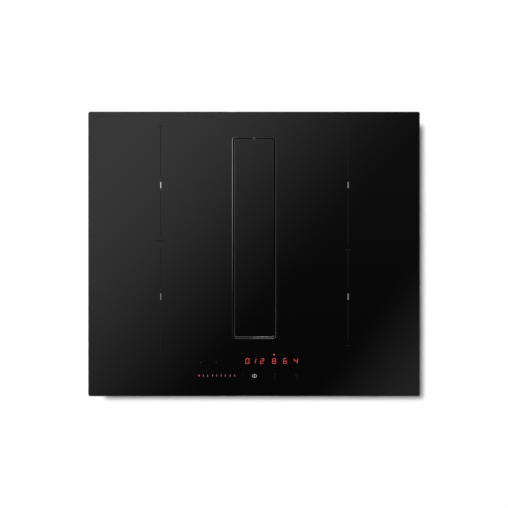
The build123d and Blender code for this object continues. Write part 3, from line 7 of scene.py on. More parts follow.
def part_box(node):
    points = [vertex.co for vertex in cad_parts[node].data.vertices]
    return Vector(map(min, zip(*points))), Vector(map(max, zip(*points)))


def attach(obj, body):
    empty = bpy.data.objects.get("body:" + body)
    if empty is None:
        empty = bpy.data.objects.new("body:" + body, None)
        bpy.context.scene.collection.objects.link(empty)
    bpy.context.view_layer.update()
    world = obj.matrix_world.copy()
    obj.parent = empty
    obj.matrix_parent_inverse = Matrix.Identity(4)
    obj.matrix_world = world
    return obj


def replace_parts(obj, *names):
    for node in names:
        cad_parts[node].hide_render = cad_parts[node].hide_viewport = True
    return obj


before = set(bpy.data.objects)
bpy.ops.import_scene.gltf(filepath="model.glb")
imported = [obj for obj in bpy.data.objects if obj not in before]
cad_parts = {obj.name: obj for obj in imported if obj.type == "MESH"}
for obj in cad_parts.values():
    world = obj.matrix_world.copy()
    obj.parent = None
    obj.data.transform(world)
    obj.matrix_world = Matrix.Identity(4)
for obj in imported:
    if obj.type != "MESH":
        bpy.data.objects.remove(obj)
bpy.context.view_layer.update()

# ---- Studio --------------------------------------------------------------------------------------------
# A white table, one small round lamp almost overhead, and a large graded card over the glass, which is
# what its black surface mirrors. The camera looks straight down, as in the photo.

IMAGE_SIZE = 508
GLASS_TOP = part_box("glass_top")[1].z
GLASS_WIDTH = 2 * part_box("glass_top")[1].x
GLASS_WIDTH_PIXELS = 331.7
CENTRE_OFFSET_PIXELS = 0.06
LENS = 200
SENSOR = 36
PIXEL = GLASS_WIDTH / GLASS_WIDTH_PIXELS
CAMERA_RISE = PIXEL * IMAGE_SIZE * LENS / SENSOR
CAMERA_REACH = 60

camera_data = bpy.data.cameras.new("camera")
camera_data.lens = LENS
camera_data.sensor_width = SENSOR
camera_data.clip_end = CAMERA_REACH
camera = bpy.data.objects.new("camera", camera_data)
camera.location = (-CENTRE_OFFSET_PIXELS * PIXEL, 0, GLASS_TOP + CAMERA_RISE)
bpy.context.scene.collection.objects.link(camera)
bpy.context.scene.camera = camera
bpy.context.scene.view_settings.view_transform = "Standard"

SUN_STRENGTH = 2.95
SUN_SPREAD_DEGREES = 4.4
SUN_TRAVEL = (0.087, -0.072, -1)
sun_data = bpy.data.lights.new("round_lamp", "SUN")
sun_data.energy = SUN_STRENGTH
sun_data.angle = math.radians(SUN_SPREAD_DEGREES)
sun = bpy.data.objects.new("round_lamp", sun_data)
sun.rotation_mode = "QUATERNION"
sun.rotation_quaternion = Vector(SUN_TRAVEL).to_track_quat("-Z", "Y")
sun.visible_glossy = False
bpy.context.scene.collection.objects.link(sun)


def feed(made, values):
    """A node's inputs by name or place: each takes a plain value, or is linked from another's output."""
    for key, value in values.items():
        if isinstance(value, bpy.types.NodeSocket):
            made.id_data.links.new(value, made.inputs[key])
        else:
            made.inputs[key].default_value = value
    return made


def node(tree, kind, values=None, **settings):
    """A shader node with its settings and its inputs."""
    made = tree.nodes.new("ShaderNode" + kind)
    for key, value in settings.items():
        setattr(made, key, value)
    return feed(made, values or {})


def maths(tree, operation, *values, clamp=False):
    """The result of a sum with numbers and other nodes' outputs."""
    return node(tree, "Math", dict(enumerate(values)), operation=operation, use_clamp=clamp).outputs[0]


def vectors(tree, operation, *values, output="Vector"):
    """The result of a sum with vectors."""
    return node(tree, "VectorMath", dict(enumerate(values)), operation=operation).outputs[output]


def spread(tree, value, from_span, to_span, **settings):
    """A value carried over from one span to another."""
    ends = {"From Min": from_span[0], "From Max": from_span[1], "To Min": to_span[0], "To Max": to_span[1]}
    return node(tree, "MapRange", {"Value": value, **ends}, **settings).outputs["Result"]


def object_point(tree):
    """The point of the piece that is being shaded."""
    return node(tree, "TexCoord").outputs["Object"]


def deselect():
    """Nothing selected, so that the next operator acts on the new piece alone."""
    if bpy.context.mode != "OBJECT":
        bpy.ops.object.mode_set(mode="OBJECT")
    bpy.ops.object.select_all(action="DESELECT")


ROOM_LIGHT = 0.12
world = bpy.data.worlds.new("white_room")
bpy.context.scene.world = world
world.use_nodes = True
tree = world.node_tree
light_path = node(tree, "LightPath").outputs
seen = maths(tree, "MAXIMUM", light_path["Is Camera Ray"], light_path["Is Glossy Ray"])
seen = maths(tree, "MAXIMUM", seen, light_path["Is Transmission Ray"])
strength = spread(tree, seen, (0, 1), (ROOM_LIGHT, 1.0))
feed(tree.nodes["Background"], {"Color": (1, 1, 1, 1), "Strength": strength})

FLOOR_SIZE = 60
FLOOR_DROP = 0.0002
deselect()
bpy.ops.mesh.primitive_plane_add(size=FLOOR_SIZE, location=(0, 0, -FLOOR_DROP))
floor = bpy.context.object
floor.name = "floor"
floor_paint = bpy.data.materials.new("floor_paint")
floor_paint.use_nodes = True
matt_white = {"Base Color": (1, 1, 1, 1), "Roughness": 1.0, "Specular IOR Level": 0.0}
feed(floor_paint.node_tree.nodes["Principled BSDF"], matt_white)
floor.data.materials.append(floor_paint)

# The card's light falls off along one diagonal, from a softbox at the upper left to a dark middle, and
# rises a little again at the lower right, where a small reflector stands. Both end within NEAR_SPAN. The
# rest of it is faint, and fainter towards the front. A pale ring beyond lights the metal from the sides.
CARD_SIZE = 60
CARD_RISE = 1.5
SOFTBOX_TURN_DEGREES = 39.7
SOFTBOX_SPAN = (-0.425, 0.133)
SOFTBOX_LIGHT = 0.868
REFLECTOR_TURN_DEGREES = 36.3
REFLECTOR_SPAN = (0.292, 0.542)
REFLECTOR_LIGHT = 0.382
CARD_SPAN = (-0.269, 0.360)
CARD_LIGHT = (0.032, 0.098)
NEAR_SPAN = (0.75, 1.5)
RING_RISE_SPAN = (0.8, 1.7)
RING_FALL_SPAN = (2.4, 7.0)
RING_LIGHT = 0.30
RING_REST = 0.35
deselect()
bpy.ops.mesh.primitive_plane_add(size=CARD_SIZE, location=(0, 0, GLASS_TOP + CARD_RISE))
card = bpy.context.object
card.name = "graded_card"
card_light = bpy.data.materials.new("card_light")
card_light.use_nodes = True
card_tree = card_light.node_tree
card_tree.nodes.remove(card_tree.nodes["Principled BSDF"])
card_point = object_point(card_tree)


def fade(turn_degrees, span, light):
    """Light that changes smoothly from one value to another along a direction turned down to the right."""
    turn = math.radians(turn_degrees)
    direction = (math.cos(turn), -math.sin(turn), 0)
    along = vectors(card_tree, "DOT_PRODUCT", card_point, direction, output="Value")
    return spread(card_tree, along, span, light, interpolation_type="SMOOTHSTEP")


def ringed(span, light):
    """Light that changes smoothly from one value to another with the distance from the card's middle."""
    away = vectors(card_tree, "LENGTH", card_point, output="Value")
    return spread(card_tree, away, span, light, interpolation_type="SMOOTHSTEP")


TOWARDS_REAR_DEGREES = -90
softbox = fade(SOFTBOX_TURN_DEGREES, SOFTBOX_SPAN, (SOFTBOX_LIGHT, 0))
reflector = fade(REFLECTOR_TURN_DEGREES, REFLECTOR_SPAN, (0, REFLECTOR_LIGHT))
faint = fade(TOWARDS_REAR_DEGREES, CARD_SPAN, CARD_LIGHT)
both = maths(card_tree, "ADD", softbox, reflector)
near = maths(card_tree, "MULTIPLY_ADD", both, ringed(NEAR_SPAN, (1, 0)), faint)
ring_rise = ringed(RING_RISE_SPAN, (0, RING_LIGHT))
ring_fall = ringed(RING_FALL_SPAN, (1, RING_REST))
whole = maths(card_tree, "MULTIPLY_ADD", ring_rise, ring_fall, near)
glow = node(card_tree, "Emission", {"Color": (1, 1, 1, 1), "Strength": whole})
feed(card_tree.nodes["Material Output"], {"Surface": glow.outputs[0]})
card.data.materials.append(card_light)
card.visible_camera = False
card.visible_diffuse = False
card.visible_shadow = False
card.visible_transmission = False

# ---- Plenum housing ------------------------------------------------------------------------------------
# Two moulded shells of black plastic, screwed together round their lip, with stiffening ribs outside and
# snap hooks over the lip. Fine spark-eroded grain, slow flow marks, and corners made paler by rubbing wear
# and a painted highlight.


def effect(name, takes, gives):
    """An empty shared effect: its tree, its named inputs, and the node that takes its outputs."""
    tree = bpy.data.node_groups.new(name, "ShaderNodeTree")
    for label, kind in takes.items():
        tree.interface.new_socket(label, in_out="INPUT", socket_type="NodeSocket" + kind)
    for label, kind in gives.items():
        tree.interface.new_socket(label, in_out="OUTPUT", socket_type="NodeSocket" + kind)
    return tree, tree.nodes.new("NodeGroupInput").outputs, tree.nodes.new("NodeGroupOutput")


def tinted(tree, colour, factor):
    """A colour made paler or darker by a factor."""
    return node(tree, "VectorMath", {0: colour, "Scale": factor}, operation="SCALE").outputs[0]


def textured(tree, takes, gives, pattern, span, tones, sheens, height, strength):
    """The end of a shared effect: a pattern shades the colour and the roughness, and a height makes bumps."""
    colour = tinted(tree, takes["Colour"], spread(tree, pattern, span, tones))
    rough = maths(tree, "ADD", takes["Roughness"], spread(tree, pattern, span, sheens), clamp=True)
    bump = node(tree, "Bump", {"Strength": strength, "Height": height, "Distance": takes["Depth"]})
    feed(gives, {"Colour": colour, "Roughness": rough, "Normal": bump.outputs[0]})


# An edge mask that makes corners paler: partly rubbing wear, partly a painted highlight along every edge.
tree, takes, gives = effect("worn_edges_and_painted_highlight", {"Width": "Float", "Amount": "Float"}, {"Mask": "Float"})
worn_edges_and_painted_highlight = tree
rounded = node(tree, "Bevel", {"Radius": takes["Width"]}, samples=4).outputs[0]
turn = vectors(tree, "DOT_PRODUCT", rounded, node(tree, "NewGeometry").outputs["Normal"], output="Value")
edge = spread(tree, turn, (0.995, 0.93), (0, 1))
patches = node(tree, "TexNoise", {"Vector": object_point(tree), "Scale": 60.0, "Detail": 4.0})
worn_and_highlighted = maths(tree, "MULTIPLY", edge, patches.outputs["Fac"])
feed(gives, {"Mask": maths(tree, "MULTIPLY", worn_and_highlighted, takes["Amount"], clamp=True)})

tree, takes, gives = effect(
    "moulded_grain",
    {"Colour": "Color", "Roughness": "Float", "Grain": "Float", "Depth": "Float"},
    {"Colour": "Color", "Roughness": "Float", "Normal": "Vector"},
)
moulded_grain = tree
where = object_point(tree)
spark = node(tree, "TexNoise", {"Vector": where, "Scale": takes["Grain"], "Detail": 2.0, "Roughness": 0.6})
flow = node(tree, "TexNoise", {"Vector": where, "Scale": 14.0, "Detail": 3.0, "Distortion": 0.6})
flow = flow.outputs["Fac"]
textured(tree, takes, gives, flow, (0.3, 0.7), (0.86, 1.14), (-0.05, 0.05), spark.outputs["Fac"], 0.35)


def blend(tree, share, colour, other):
    """A colour that goes over into another by a share."""
    mix = {"Factor": share, "A": colour, "B": other}
    return node(tree, "Mix", mix, data_type="RGBA").outputs["Result"]


def new_finish(name, colour, roughness, metallic=0.0):
    """A finish whose shader has its plain numbers on its own sockets."""
    finish = bpy.data.materials.new(name)
    finish.use_nodes = True
    shader = finish.node_tree.nodes["Principled BSDF"]
    feed(shader, {"Base Color": (*colour, 1), "Roughness": roughness, "Metallic": metallic})
    return finish, shader


def placed(tree, shared, values):
    """A shared effect, placed in a finish with its own values."""
    made = tree.nodes.new("ShaderNodeGroup")
    made.node_tree = shared
    return feed(made, values).outputs


def skinned(name, colour, roughness, metallic, shared, values, paler, edge_wear_and_highlight_width, edge_wear_and_highlight):
    """A finish from a shared effect, with its corners made paler by rubbing wear and a painted edge
    highlight.
    """
    finish, shader = new_finish(name, colour, roughness, metallic)
    tree = finish.node_tree
    skin = placed(tree, shared, {"Colour": (*colour, 1), "Roughness": roughness, **values})
    mask = placed(tree, worn_edges_and_painted_highlight, {"Width": edge_wear_and_highlight_width, "Amount": edge_wear_and_highlight})["Mask"]
    # Corners blended towards the paler colour: rubbing wear and a painted edge highlight.
    worn_and_highlighted_colour = blend(tree, mask, skin["Colour"], (*paler, 1))
    feed(shader, {"Base Color": worn_and_highlighted_colour, "Roughness": skin["Roughness"], "Normal": skin["Normal"]})
    return finish


def moulded(name, colour, roughness, grain=900.0, depth=0.00015, edge_wear_and_highlight=0.8):
    """Moulded plastic: grain, slow flow marks and corners made paler by rubbing wear and a painted highlight.
    """
    paler = [min(1.0, c * 1.8 + 0.02) for c in colour]
    values = {"Grain": grain, "Depth": depth}
    return skinned(name, colour, roughness, 0.0, moulded_grain, values, paler, 0.0006, edge_wear_and_highlight)


def dress(finish, *nodes):
    """CAD nodes take this finish."""
    for name in nodes:
        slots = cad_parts[name].data.materials
        slots.clear()
        slots.append(finish)


def choose(*pieces):
    """These pieces alone are selected, and the first of them is active."""
    deselect()
    for piece in pieces:
        piece.select_set(True)
    bpy.context.view_layer.objects.active = pieces[0]


def closed():
    """The piece that was being shaped, with all its faces turned outwards."""
    bpy.ops.mesh.select_all(action="SELECT")
    bpy.ops.mesh.normals_make_consistent(inside=False)
    bpy.ops.object.mode_set(mode="OBJECT")
    return bpy.context.object


def raised(rise):
    """What is selected, extruded upwards."""
    bpy.ops.mesh.extrude_region_move(TRANSFORM_OT_translate={"value": (0, 0, rise)})


def resized(*scale):
    """What is selected, scaled about the origin."""
    bpy.ops.transform.resize(value=scale, center_override=(0, 0, 0))


def pad(x_span, y_span, z_span, corner=0.0, segments=1, rim=0.0):
    """A pad between three spans, raised from a square: its corners cut or rounded, its top rim bevelled."""
    deselect()
    bpy.ops.mesh.primitive_plane_add(size=1, location=(0, 0, 0))
    bpy.ops.object.mode_set(mode="EDIT")
    resized(abs(x_span[1] - x_span[0]), abs(y_span[1] - y_span[0]), 1)
    if corner:
        bpy.ops.mesh.bevel(offset=corner, segments=segments, affect="VERTICES")
    bpy.ops.transform.translate(value=(sum(x_span) / 2, sum(y_span) / 2, z_span[0]))
    raised(z_span[1] - z_span[0])
    if rim:
        bpy.ops.mesh.bevel(offset=rim, segments=2, affect="EDGES")
    return closed()


def slab(x_span, y_span, z_span, rounding):
    """A block between three spans with every edge rounded over."""
    deselect()
    bpy.ops.mesh.primitive_cube_add(size=1, location=(0, 0, 0))
    bpy.ops.object.mode_set(mode="EDIT")
    resized(*[abs(span[1] - span[0]) for span in (x_span, y_span, z_span)])
    bpy.ops.transform.translate(value=[sum(span) / 2 for span in (x_span, y_span, z_span)])
    bpy.ops.mesh.bevel(offset=rounding, segments=2, affect="EDGES")
    bpy.ops.object.mode_set(mode="OBJECT")
    return bpy.context.object


at = Matrix.Translation


def copied(model, matrix):
    """A copy of a model with its own mesh, placed by a matrix."""
    copy = model.copy()
    copy.data = model.data.copy()
    copy.data.transform(matrix)
    bpy.context.scene.collection.objects.link(copy)
    return copy


def stamped(model, matrices):
    """Copies of a model, one for each matrix; the model itself goes."""
    copies = [copied(model, matrix) for matrix in matrices]
    bpy.data.objects.remove(model)
    return copies


def row(model, places):
    """Copies of a model at several places."""
    return stamped(model, [at(place) for place in places])


def one_piece(name, parts):
    """Joins the parts into one named piece."""
    choose(*parts)
    bpy.ops.object.join()
    piece = bpy.context.object
    piece.name = name
    piece.data.name = name
    return piece


def fitted(name, parts, body, finish):
    """The parts as one named piece, which takes its finish and moves with its body."""
    piece = one_piece(name, parts)
    piece.data.materials.clear()
    piece.data.materials.append(finish)
    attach(piece, body)
    return piece


housing_plastic = moulded("housing_plastic", (0.028, 0.029, 0.031), 0.50)
dress(housing_plastic, "plenum_base", "plenum_lid", "filter_partition", "scroll_lower", "scroll_upper")
dress(housing_plastic, "outlet_diffuser", "outlet_collar", "chute")

PLENUM_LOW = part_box("plenum_base")[0]
PLENUM_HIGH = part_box("plenum_lid")[1]
LIP_WIDTH = 0.008
LIP_MIDDLE_Z = 0.064
LIP_HALF = 0.0025
RIB_PROUD = 0.0012
RIB_ROOT = 0.0005
RIB_HALF = 0.0011
RIB_ROUNDING = 0.0004
RIB_PITCH = 0.022
SIDE_RIBS_EACH_WAY = 9
RIB_SPANS_Z = {"base": (0.006, 0.0575), "lid": (0.0705, 0.127)}
RIB_FRONT_START = {"base": 0.056, "lid": -0.050}
RIB_BACK_END = 0.024
wall_left = PLENUM_LOW.x + LIP_WIDTH
wall_right = PLENUM_HIGH.x - LIP_WIDTH
wall_front = PLENUM_LOW.y + LIP_WIDTH
wall_back = -wall_front
side_places = [(0, k * RIB_PITCH, 0) for k in range(-SIDE_RIBS_EACH_WAY, SIDE_RIBS_EACH_WAY + 1)]
for shell, rib_z in RIB_SPANS_Z.items():
    ribs = []
    for wall, outwards in ((wall_left, -1), (wall_right, 1)):
        across = sorted((wall - outwards * RIB_ROOT, wall + outwards * RIB_PROUD))
        ribs += row(slab(across, (-RIB_HALF, RIB_HALF), rib_z, RIB_ROUNDING), side_places)
    for wall, outwards, start, end in (
        (wall_front, -1, RIB_FRONT_START[shell], wall_right - RIB_PITCH / 2),
        (wall_back, 1, wall_left + RIB_PITCH / 2, RIB_BACK_END),
    ):
        across = sorted((wall - outwards * RIB_ROOT, wall + outwards * RIB_PROUD))
        count = int((end - start) / RIB_PITCH) + 1
        places = [(start + k * RIB_PITCH, 0, 0) for k in range(count)]
        ribs += row(slab((-RIB_HALF, RIB_HALF), across, rib_z, RIB_ROUNDING), places)
    fitted(f"plenum_ribs_{shell}", ribs, "housing", housing_plastic)

# Each snap hook reaches over the lip's edge from both faces.
HOOK_HALF = 0.006
HOOK_WALL = 0.0016
HOOK_REACH = 0.0035
HOOK_TOOTH = 0.0018
HOOK_GAP = 0.0001
HOOK_PLACES_Y = (-0.120, 0.0, 0.120)
hooks = []
for edge_x, outwards in ((PLENUM_LOW.x, -1), (PLENUM_HIGH.x, 1)):
    outer = edge_x + outwards * HOOK_WALL
    along = (-HOOK_HALF, HOOK_HALF)
    low, high = LIP_MIDDLE_Z - LIP_HALF, LIP_MIDDLE_Z + LIP_HALF
    band = sorted((edge_x + outwards * HOOK_GAP, outer))
    tooth = sorted((edge_x - outwards * HOOK_REACH, outer))
    hook_parts = [
        slab(band, along, (low - HOOK_TOOTH, high + HOOK_TOOTH), RIB_ROUNDING),
        slab(tooth, along, (low - HOOK_TOOTH, low - HOOK_GAP), RIB_ROUNDING),
        slab(tooth, along, (high + HOOK_GAP, high + HOOK_TOOTH), RIB_ROUNDING),
    ]
    hooks += row(one_piece("hook", hook_parts), [(0, y, 0) for y in HOOK_PLACES_Y])
fitted("plenum_hooks", hooks, "housing", housing_plastic)

# ---- Drip tray and odour filters -----------------------------------------------------------------------
# A shallow moulded tray that draws out to the front, with drainage ribs on its floor. Two cartridges of
# granular charcoal stand in moulded frames behind it.
tray_plastic = moulded("tray_plastic", (0.060, 0.062, 0.065), 0.42)
dress(tray_plastic, "drip_tray", "odour_filter_frame_front", "odour_filter_frame_rear")
TRAY_FLOOR_Z = 0.0048
TRAY_RIB_TOP_Z = 0.0066
TRAY_RIB_HALF = 0.0009
TRAY_RIB_CORNER = 0.0008
TRAY_RIB_RIM = 0.0005
TRAY_LONG_RIBS_X = (-0.036, -0.021, -0.006, 0.009, 0.024)
TRAY_RIB_SPAN_Y = (-0.200, 0.190)
tray_rib_z = (TRAY_FLOOR_Z, TRAY_RIB_TOP_Z)
tray_rib = pad((-TRAY_RIB_HALF, TRAY_RIB_HALF), TRAY_RIB_SPAN_Y, tray_rib_z, TRAY_RIB_CORNER, 3, TRAY_RIB_RIM)
tray_ribs = row(tray_rib, [(x, 0, 0) for x in TRAY_LONG_RIBS_X])
fitted("drip_tray_ribs", tray_ribs, "drip_tray", tray_plastic)

CHARCOAL_BLACK = (0.012, 0.012, 0.013)
charcoal, shader = new_finish("charcoal", CHARCOAL_BLACK, 0.95)
tree = charcoal.node_tree
grains = node(tree, "TexVoronoi", {"Vector": object_point(tree), "Scale": 600.0})
fleck = node(tree, "SeparateColor", {"Color": grains.outputs["Color"]}).outputs["Red"]
grey = tinted(tree, CHARCOAL_BLACK, spread(tree, fleck, (0, 1), (0.4, 1.8)))
uneven = {"Strength": 0.9, "Distance": 0.0006, "Height": grains.outputs["Distance"]}
feed(shader, {"Base Color": grey, "Normal": node(tree, "Bump", uneven).outputs[0]})
dress(charcoal, "charcoal_block_front", "charcoal_block_rear")

# ---- Blower --------------------------------------------------------------------------------------------
# An external-rotor motor of turned steel, with a stack of iron sheets in it, drives a moulded centrifugal
# wheel. It sits on an aluminium mount, in a scroll that hangs on rubber isolators.
tree, takes, gives = effect(
    "rolled_metal",
    {"Colour": "Color", "Roughness": "Float", "Streaks": "Vector", "Spangle": "Float", "Depth": "Float"},
    {"Colour": "Color", "Roughness": "Float", "Normal": "Vector"},
)
rolled_metal = tree
where = object_point(tree)
streaked = vectors(tree, "MULTIPLY", where, takes["Streaks"])
lines = node(tree, "TexNoise", {"Vector": streaked, "Scale": 1.0, "Detail": 3.0}).outputs["Fac"]
crystals = node(tree, "TexVoronoi", {"Vector": where, "Scale": 110.0}).outputs["Color"]
crystal = node(tree, "SeparateColor", {"Color": crystals}).outputs["Red"]
spangled = maths(tree, "MULTIPLY_ADD", crystal, takes["Spangle"], lines)
textured(tree, takes, gives, spangled, (0.2, 1.2), (0.85, 1.12), (-0.07, 0.1), lines, 0.4)


def metal(name, colour, roughness, streaks=(40, 900, 900), spangle=0.0, depth=0.00005, edge_wear_and_highlight=0.5):
    """Bare metal: rolling or brushing marks, spangle if it is galvanised, and corners made bright by rubbing
    wear and a painted highlight.
    """
    paler = [min(1.0, c * 1.25 + 0.05) for c in colour]
    values = {"Streaks": streaks, "Spangle": spangle, "Depth": depth}
    return skinned(name, colour, roughness, 1.0, rolled_metal, values, paler, 0.0004, edge_wear_and_highlight)


dress(moulded("impeller_plastic", (0.045, 0.047, 0.050), 0.42), "impeller")
motor_steel = metal("motor_steel", (0.50, 0.50, 0.52), 0.30, streaks=(300, 300, 40))
dress(motor_steel, "motor_rotor", "motor_shaft", "motor_bearings")
dress(metal("stator_iron", (0.16, 0.15, 0.15), 0.5, streaks=(20, 20, 2200), depth=0.0002), "motor_stator")
isolator_rubber = moulded("isolator_rubber", (0.022, 0.022, 0.023), 0.8, grain=1500.0)
dress(isolator_rubber, "scroll_isolators")
frame_aluminium = metal("frame_aluminium", (0.72, 0.72, 0.74), 0.34)
dress(frame_aluminium, "support_frame", "motor_mount", "coil_carriers")

# ---- Duct outlet ---------------------------------------------------------------------------------------
# A moulded spigot for flat duct. A bead round its end holds the duct's clip, and a strip of foam round
# its root seals the duct's end.
DUCT_HALF_WIDTH = 0.111
DUCT_HALF_HEIGHT = 0.0445
BEAD_BAND = 0.0012
BEAD_SPAN_Y = (0.2385, 0.2410)
BEAD_ROUNDING = 0.0005
SEAL_BAND = 0.0025
SEAL_GAP = 0.0001
SEAL_SPAN_Y = (0.2212, 0.2252)
SEAL_ROUNDING = 0.0006
duct_middle = sum(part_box("outlet_collar"), Vector()) / 2


def applied(piece, kind, **settings):
    """The piece with a modifier applied to it."""
    modifier = piece.modifiers.new(kind.lower(), kind)
    for key, value in settings.items():
        setattr(modifier, key, value)
    choose(piece)
    bpy.ops.object.modifier_apply(modifier=modifier.name)
    return piece


def soften(piece, width):
    """Sharp edges rounded, as a pressed or moulded piece has them."""
    return applied(piece, "BEVEL", width=width, segments=2, limit_method="ANGLE")


def turned(degrees, axis):
    """A turn about an axis through the origin."""
    return Matrix.Rotation(math.radians(degrees), 4, axis)


def square_ring(outwards, band, y_span, rounding):
    """A ring round the spigot: a square, inset and opened, then drawn out backwards and rounded."""
    deselect()
    bpy.ops.mesh.primitive_plane_add(size=2, location=(0, 0, 0))
    bpy.ops.object.mode_set(mode="EDIT")
    resized(DUCT_HALF_WIDTH + outwards, DUCT_HALF_HEIGHT + outwards, 1)
    bpy.ops.mesh.inset(thickness=band)
    bpy.ops.mesh.delete(type="FACE")
    bpy.ops.mesh.select_all(action="SELECT")
    raised(y_span[1] - y_span[0])
    ring = soften(closed(), rounding)
    ring.data.transform(at((duct_middle.x, y_span[1], duct_middle.z)) @ turned(90, "X"))
    return ring


bead = square_ring(BEAD_BAND, 2 * BEAD_BAND, BEAD_SPAN_Y, BEAD_ROUNDING)
fitted("outlet_bead", [bead], "housing", housing_plastic)
foam = moulded("seal_foam", (0.10, 0.10, 0.105), 0.95, grain=1400.0, depth=0.0006, edge_wear_and_highlight=0.0)
foam_strip = square_ring(SEAL_BAND, SEAL_BAND - SEAL_GAP, SEAL_SPAN_Y, SEAL_ROUNDING)
fitted("outlet_seal", [foam_strip], "housing", foam)

# ---- Casing --------------------------------------------------------------------------------------------
# A box folded from galvanised sheet. Its corners overlap and are riveted, beads pressed into its long
# walls stiffen them, and bowed spring clips on its sides grip the worktop.
galvanised_sheet = metal("galvanised_sheet", (0.47, 0.48, 0.49), 0.40, spangle=0.38)
dress(galvanised_sheet, "casing_tray")
clip_steel = metal("clip_steel", (0.42, 0.42, 0.43), 0.24, streaks=(900, 900, 60))
dress(clip_steel, "side_clips", "carrier_springs", "touch_springs")
CASING_HALF_WIDTH, CASING_HALF_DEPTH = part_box("casing_tray")[1].xy
PRESSED_X = (-0.186, -0.062, 0.062, 0.186)
PRESSED_Z = 0.170
PRESSED_HALF_LENGTH = 0.045
PRESSED_HALF_HEIGHT = 0.005
PRESSED_RISE = 0.0009
pressed_x = (-PRESSED_HALF_LENGTH, PRESSED_HALF_LENGTH)
pressed_y = (-PRESSED_HALF_HEIGHT, PRESSED_HALF_HEIGHT)
end_radius = PRESSED_HALF_HEIGHT * 0.98
pressed = pad(pressed_x, pressed_y, (0, PRESSED_RISE), end_radius, 6, PRESSED_RISE * 0.6)
to_front = turned(90, "X")
to_back = turned(180, "Z") @ to_front
walls = ((to_front, -1), (to_back, 1))
beads = [at((x, end * CASING_HALF_DEPTH, PRESSED_Z)) @ facing for facing, end in walls for x in PRESSED_X]
fitted("casing_beads", stamped(pressed, beads), "housing", galvanised_sheet)

LAP_SPAN_X = (0.2605, 0.2735)
LAP_SPAN_Z = (0.1415, 0.2025)
LAP_SHEET = 0.0009
LAP_CORNER = 0.002
LAP_RIM = 0.0003
lap_places = []
for side in (1, -1):
    mirrored = Matrix.Scale(side, 4, (1, 0, 0))
    lap_places.append(mirrored @ at((0, -CASING_HALF_DEPTH, 0)) @ to_front)
    lap_places.append(mirrored @ at((0, CASING_HALF_DEPTH, 0)) @ to_back @ Matrix.Scale(-1, 4, (1, 0, 0)))
lap = pad(LAP_SPAN_X, LAP_SPAN_Z, (0, LAP_SHEET), LAP_CORNER, 2, LAP_RIM)
one_piece("casing_laps", stamped(lap, lap_places))
bpy.ops.object.mode_set(mode="EDIT")
fitted("casing_laps", [closed()], "housing", galvanised_sheet)

RIVET_RADIUS = 0.0022
RIVET_RISE = 0.0010
LAP_RIVET_X = 0.267
LAP_RIVETS_Z = (0.152, 0.172, 0.192)
CLIP_RIVET_Y = (-0.156, -0.144, 0.144, 0.156)
CLIP_RIVETS_Z = (0.1525, 0.1835)
CLIP_RIVET_OUT = 0.0014


def rivet():
    """A domed rivet head: half a ball, pressed flat, facing up."""
    deselect()
    bpy.ops.mesh.primitive_uv_sphere_add(segments=16, ring_count=8, radius=RIVET_RADIUS)
    bpy.ops.object.mode_set(mode="EDIT")
    bpy.ops.mesh.bisect(plane_co=(0, 0, 0), plane_no=(0, 0, 1), use_fill=True, clear_inner=True)
    bpy.ops.mesh.select_all(action="SELECT")
    resized(1, 1, RIVET_RISE / RIVET_RADIUS)
    bpy.ops.object.mode_set(mode="OBJECT")
    bpy.ops.object.shade_smooth()
    return bpy.context.object


to_side = {side: turned(side * 90, "Y") for side in (-1, 1)}
rivets = [
    at((x, end * (CASING_HALF_DEPTH + LAP_SHEET), z)) @ facing
    for facing, end in walls
    for x in (-LAP_RIVET_X, LAP_RIVET_X)
    for z in LAP_RIVETS_Z
]
rivets += [
    at((side * (CASING_HALF_WIDTH + CLIP_RIVET_OUT), y, z)) @ to_side[side]
    for side in (-1, 1)
    for y in CLIP_RIVET_Y
    for z in CLIP_RIVETS_Z
]
rivet_steel = metal("rivet_steel", (0.60, 0.60, 0.61), 0.3, streaks=(300, 300, 300))
fitted("casing_rivets", stamped(rivet(), rivets), "housing", rivet_steel)

# ---- Screws --------------------------------------------------------------------------------------------
# Zinc-plated screws with pan heads and a cross recess. One of each length is made, and then copied to
# every hole of the casing, the plenum's lip and lid, and the duct collar.
screw_steel = metal("screw_steel", (0.60, 0.585, 0.55), 0.28, streaks=(200, 200, 200))
HEAD_RADIUS = 0.0030
HEAD_HEIGHT = 0.0018
SHANK_RADIUS = 0.0016
RECESS_HALF = 0.00032
RECESS_REACH = 0.0016
RECESS_DEPTH = 0.0011


def disc(radius, height, rim, segments):
    """A disc raised from a circle on the ground, its top rim rounded over."""
    deselect()
    bpy.ops.mesh.primitive_circle_add(vertices=24, radius=radius, fill_type="NGON")
    bpy.ops.object.mode_set(mode="EDIT")
    raised(height)
    bpy.ops.mesh.bevel(offset=rim, segments=segments, affect="EDGES")
    return closed()


def cross_cut(piece, reach, half, z_span):
    """The piece with a cross cut out of it between two heights."""
    long, short = (-reach, reach), (-half, half)
    for spans in ((long, short), (short, long)):
        cutter = pad(*spans, z_span)
        applied(piece, "BOOLEAN", operation="DIFFERENCE", object=cutter)
        bpy.data.objects.remove(cutter)
    return piece


def screw(length):
    """A screw that faces up: a head with a cross in its crown, and a plain shank that runs down from it."""
    head = disc(HEAD_RADIUS, HEAD_HEIGHT, HEAD_HEIGHT * 0.6, 3)
    cross_cut(head, RECESS_REACH, RECESS_HALF, (HEAD_HEIGHT - RECESS_DEPTH, 2 * HEAD_HEIGHT))
    deselect()
    middle = (0, 0, -length / 2)
    bpy.ops.mesh.primitive_cylinder_add(vertices=16, radius=SHANK_RADIUS, depth=length, location=middle)
    bpy.ops.object.transform_apply(location=True)
    return one_piece("screw", [head, soften(bpy.context.object, SHANK_RADIUS / 2)])


